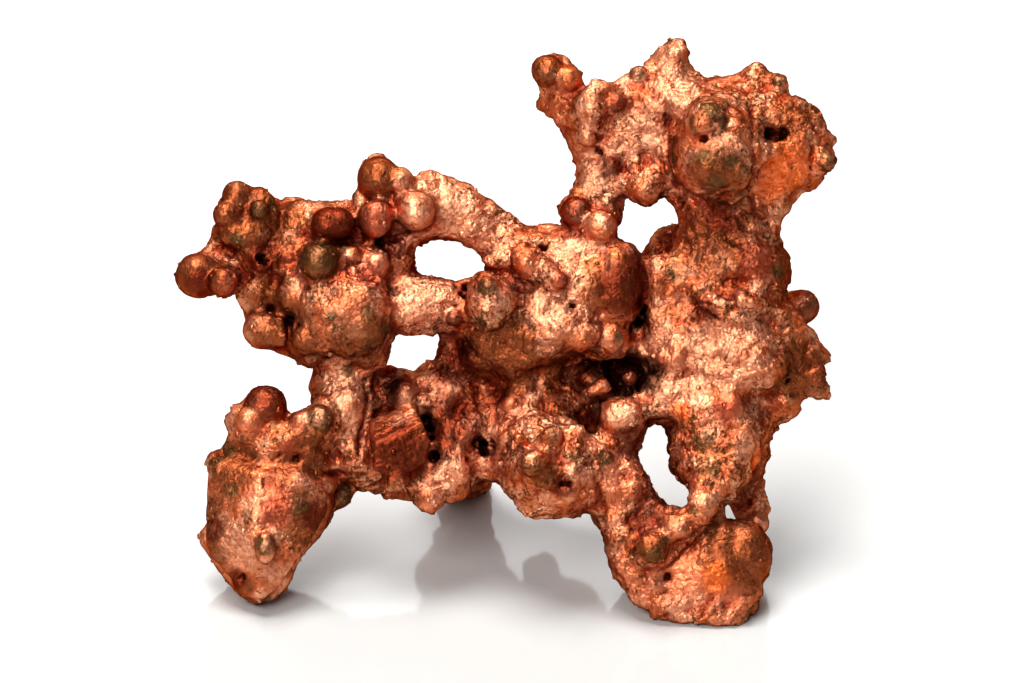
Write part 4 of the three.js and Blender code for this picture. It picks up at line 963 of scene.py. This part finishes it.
# The share of the sky over each place that the nugget itself shuts out, painted into the skin's colour as
# shade.
def shelterFactor(made, reach, rays):
    skinTree = skinTreeOf(made)
    golden = math.pi * (3 - math.sqrt(5))
    heights = [1 - (2 * step + 1) / rays for step in range(rays)]
    fans = []
    for step, z in enumerate(heights):
        flat = math.sqrt(1 - z * z)
        fans.append(Vector((flat * math.cos(golden * step), flat * math.sin(golden * step), z)))
    found = np.zeros(len(made.data.vertices))
    for vertex in made.data.vertices:
        normal = vertex.normal
        start = vertex.co + normal * skin["shelterLift"]
        total = 0
        blocked = 0
        for ray in fans:
            facing = ray.dot(normal)
            if facing > skin["shelterSlant"]:
                total += facing
                if skinTree.ray_cast(start, ray, reach)[0] is not None:
                    blocked += facing
        found[vertex.index] = blocked / total
    return found


# How far each place lies below its smoothed surroundings, for the darker red there: partly oxide that
# gathers in hollows, partly painted shade.
def hollowFactor(mesh, places, reach):
    edges = np.zeros(len(mesh.edges) * 2, np.int32)
    mesh.edges.foreach_get("vertices", edges)
    first, second = edges.reshape(-1, 2).T
    count = len(places)
    joined = np.bincount(first, minlength=count) + np.bincount(second, minlength=count)
    smooth = places.astype(float)
    for step in range(reach):
        total = np.zeros_like(smooth)
        for axis in range(3):
            total[:, axis] += np.bincount(first, smooth[second, axis], count)
            total[:, axis] += np.bincount(second, smooth[first, axis], count)
        smooth = (smooth + total / np.maximum(joined, 1)[:, None]) / 2
    return ((smooth - places) * normalsOf(mesh)).sum(1)


crumbs = {
    "perSquareMm": 0.4,
    "smallest": 0.1,
    "largest": 0.26,
    "sink": 0.4,
    "seed": 11,
}


# Loose-looking crumbs of copper that stud the skin.
def crumbTree():
    sizes = {
        "Crumbs per Area": crumbs["perSquareMm"],
        "Smallest": crumbs["smallest"],
        "Largest": crumbs["largest"],
        "Sink": crumbs["sink"],
        "Seed": crumbs["seed"],
    }
    tree = newGeometryTree("Copper Crumbs", sizes)
    source = tree.nodes.new("NodeGroupInput").outputs
    scatter = addNode(
        tree,
        "GeometryNodeDistributePointsOnFaces",
        {"Mesh": source["Geometry"], "Density": source["Crumbs per Area"], "Seed": source["Seed"]},
    )

    def anyVector(low, high):
        values = {0: low, 1: high, "Seed": source["Seed"]}
        return addNode(tree, "FunctionNodeRandomValue", values, data_type="FLOAT_VECTOR").outputs[0]

    values = {2: source["Smallest"], 3: source["Largest"], "Seed": source["Seed"]}
    size = addNode(tree, "FunctionNodeRandomValue", values, data_type="FLOAT").outputs[1]
    spin = anyVector((0, 0, 0), (6.28, 6.28, 6.28))
    scale = vectorMaths(tree, "SCALE", anyVector((0.6, 0.6, 0.5), (1.5, 1.1, 1.0)), size)
    inwards = maths(tree, "MULTIPLY", size, maths(tree, "MULTIPLY", source["Sink"], -1.0))
    sunk = vectorMaths(tree, "SCALE", scatter.outputs["Normal"], inwards)
    places = {"Geometry": scatter.outputs["Points"], "Offset": sunk}
    points = addNode(tree, "GeometryNodeSetPosition", places)
    grain = addNode(tree, "GeometryNodeMeshIcoSphere", {"Radius": 1.0, "Subdivisions": 1})
    placed = addNode(
        tree,
        "GeometryNodeInstanceOnPoints",
        {"Points": points.outputs[0], "Instance": grain.outputs["Mesh"], "Rotation": spin, "Scale": scale},
    )
    real = addNode(tree, "GeometryNodeRealizeInstances", {"Geometry": placed.outputs[0]})
    finishTree(tree, drifted(tree, real.outputs[0]), source["Material"])
    return tree, sizes


copper = skinMaterial()
body = nuggetCore()
skinTree = skinTreeOf(body)
rearBeads, rearStains = rearGrowth(skinTree)
settled = settledBeads(skinTree) + rearBeads
blockRooms = addForms(body, settled)
print("skin remeshed:", len(body.data.polygons), "faces")

calmSpots = [(middle, radius * beadMargin, hardBorder, "calm") for middle, radius, finish in settled]
calmSpots += [(middle, reach * skin["blockReach"], softBorder / 2, "calm") for middle, reach in blockRooms]
calmSpots += stainSpots(skinTree) + swellingSpots(skinTree)
storeFactor(body.data, "calm", spotFactor(coordinatesOf(body.data), calmSpots, "calm"))
growTree(body, *crumpleTree(), copper)
skinTree = skinTreeOf(body)
pressPits(body, skinTree)
spots = [(middle, radius * beadMargin, hardBorder, finish) for middle, radius, finish in settled]
spots += stainSpots(skinTree) + rearStains
finishes = ("olive", "ruby", "glow", "brown", "creamHighlight", "pink", "rose")
places = coordinatesOf(body.data)
for finish in finishes:
    storeFactor(body.data, finish, spotFactor(places, spots, finish))
storeFactor(body.data, "hollow", hollowFactor(body.data, places, skin["hollowReach"]))
storeFactor(body.data, "shelter", shelterFactor(body, skin["shelterReach"], skin["shelterRays"]))
print("skin crumpled")

studs = meshObject("copperCrumbs", body.data.copy())
growTree(studs, *crumbTree(), copper)
for name in finishes + ("hollow", "shelter", "cave"):
    if name in studs.data.attributes:
        studs.data.attributes.remove(studs.data.attributes[name])
places = coordinatesOf(studs.data)
for finish in finishes:
    storeFactor(studs.data, finish, spotFactor(places, spots, finish))
print("crumbs:", len(studs.data.polygons), "faces")

for piece in (body, studs):
    piece.data.transform(Matrix.Scale(metresPerMm, 4))
    places = coordinatesOf(piece.data)
    places[:, 2] = np.maximum(places[:, 2], 0)  # nothing reaches below the soles
    moveTo(piece.data, places)
    piece.data.polygons.foreach_set("use_smooth", np.ones(len(piece.data.polygons), bool))
    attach(piece, "root")
    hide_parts("nugget")

# Studio: a pale glossy floor that runs out of sight, soft lights above and to the left.
studio = {
    "floorSize": 3.0,
    "floorColour": (0.475, 0.475, 0.462, 1),
    "floorRoughness": 0.1,
    "floorSpecular": 1.0,
    "skyStrength": 0.19,
    "lights": [
        ("overhead", (-0.08, 0.06, 0.6), (0.34, 0.34), 6.6),
        ("key", (-0.22, -0.5, 0.42), (0.34, 0.34), 4.7),
        ("backdrop", (0.0, 0.55, 0.28), (1.1, 0.5), 2.6),
    ],
}


def studioFloor():
    shape = bmesh.new()
    bmesh.ops.create_grid(shape, x_segments=1, y_segments=1, size=studio["floorSize"] / 2)
    mesh = bpy.data.meshes.new("studioFloor")
    shape.to_mesh(mesh)
    shape.free()
    floor = meshObject("studioFloor", mesh)
    material = bpy.data.materials.new("paleGloss")
    material.use_nodes = True
    tree = material.node_tree
    shader = tree.nodes["Principled BSDF"]
    shader.inputs["Base Color"].default_value = studio["floorColour"]
    shader.inputs["Roughness"].default_value = studio["floorRoughness"]
    shader.inputs["Specular IOR Level"].default_value = studio["floorSpecular"]
    mesh.materials.append(material)


def softLight(name, place, size, power):
    light = bpy.data.lights.new(name, "AREA")
    light.shape = "RECTANGLE"
    light.size, light.size_y = size
    light.energy = power
    made = bpy.data.objects.new(name, light)
    made.location = place
    aim = Vector((0, 0, 0.015)) - Vector(place)
    made.rotation_euler = aim.to_track_quat("-Z", "Y").to_euler()
    bpy.context.scene.collection.objects.link(made)


def studioCamera():
    data = bpy.data.cameras.new("camera")
    data.sensor_width = viewpoint["sensorWidth"]
    data.lens = viewpoint["sensorWidth"] * viewpoint["distance"] / viewpoint["frameWidth"]
    data.clip_end = 10
    camera = bpy.data.objects.new("camera", data)
    across, depth, up = viewpoint["lookAt"]
    target = standing(across, depth, up) * metresPerMm
    place = standing(across, depth - viewpoint["distance"], up) * metresPerMm
    camera.location = place
    camera.rotation_euler = (target - place).to_track_quat("-Z", "Y").to_euler()
    bpy.context.scene.collection.objects.link(camera)
    bpy.context.scene.camera = camera


studioFloor()
for name, place, size, power in studio["lights"]:
    softLight(name, place, size, power)
world = bpy.data.worlds.new("paleRoom")
world.use_nodes = True
world.node_tree.nodes["Background"].inputs["Color"].default_value = (1, 1, 1, 1)
world.node_tree.nodes["Background"].inputs["Strength"].default_value = studio["skyStrength"]
bpy.context.scene.world = world
studioCamera()
bpy.context.scene.view_settings.view_transform = "Standard"
print("studio set")
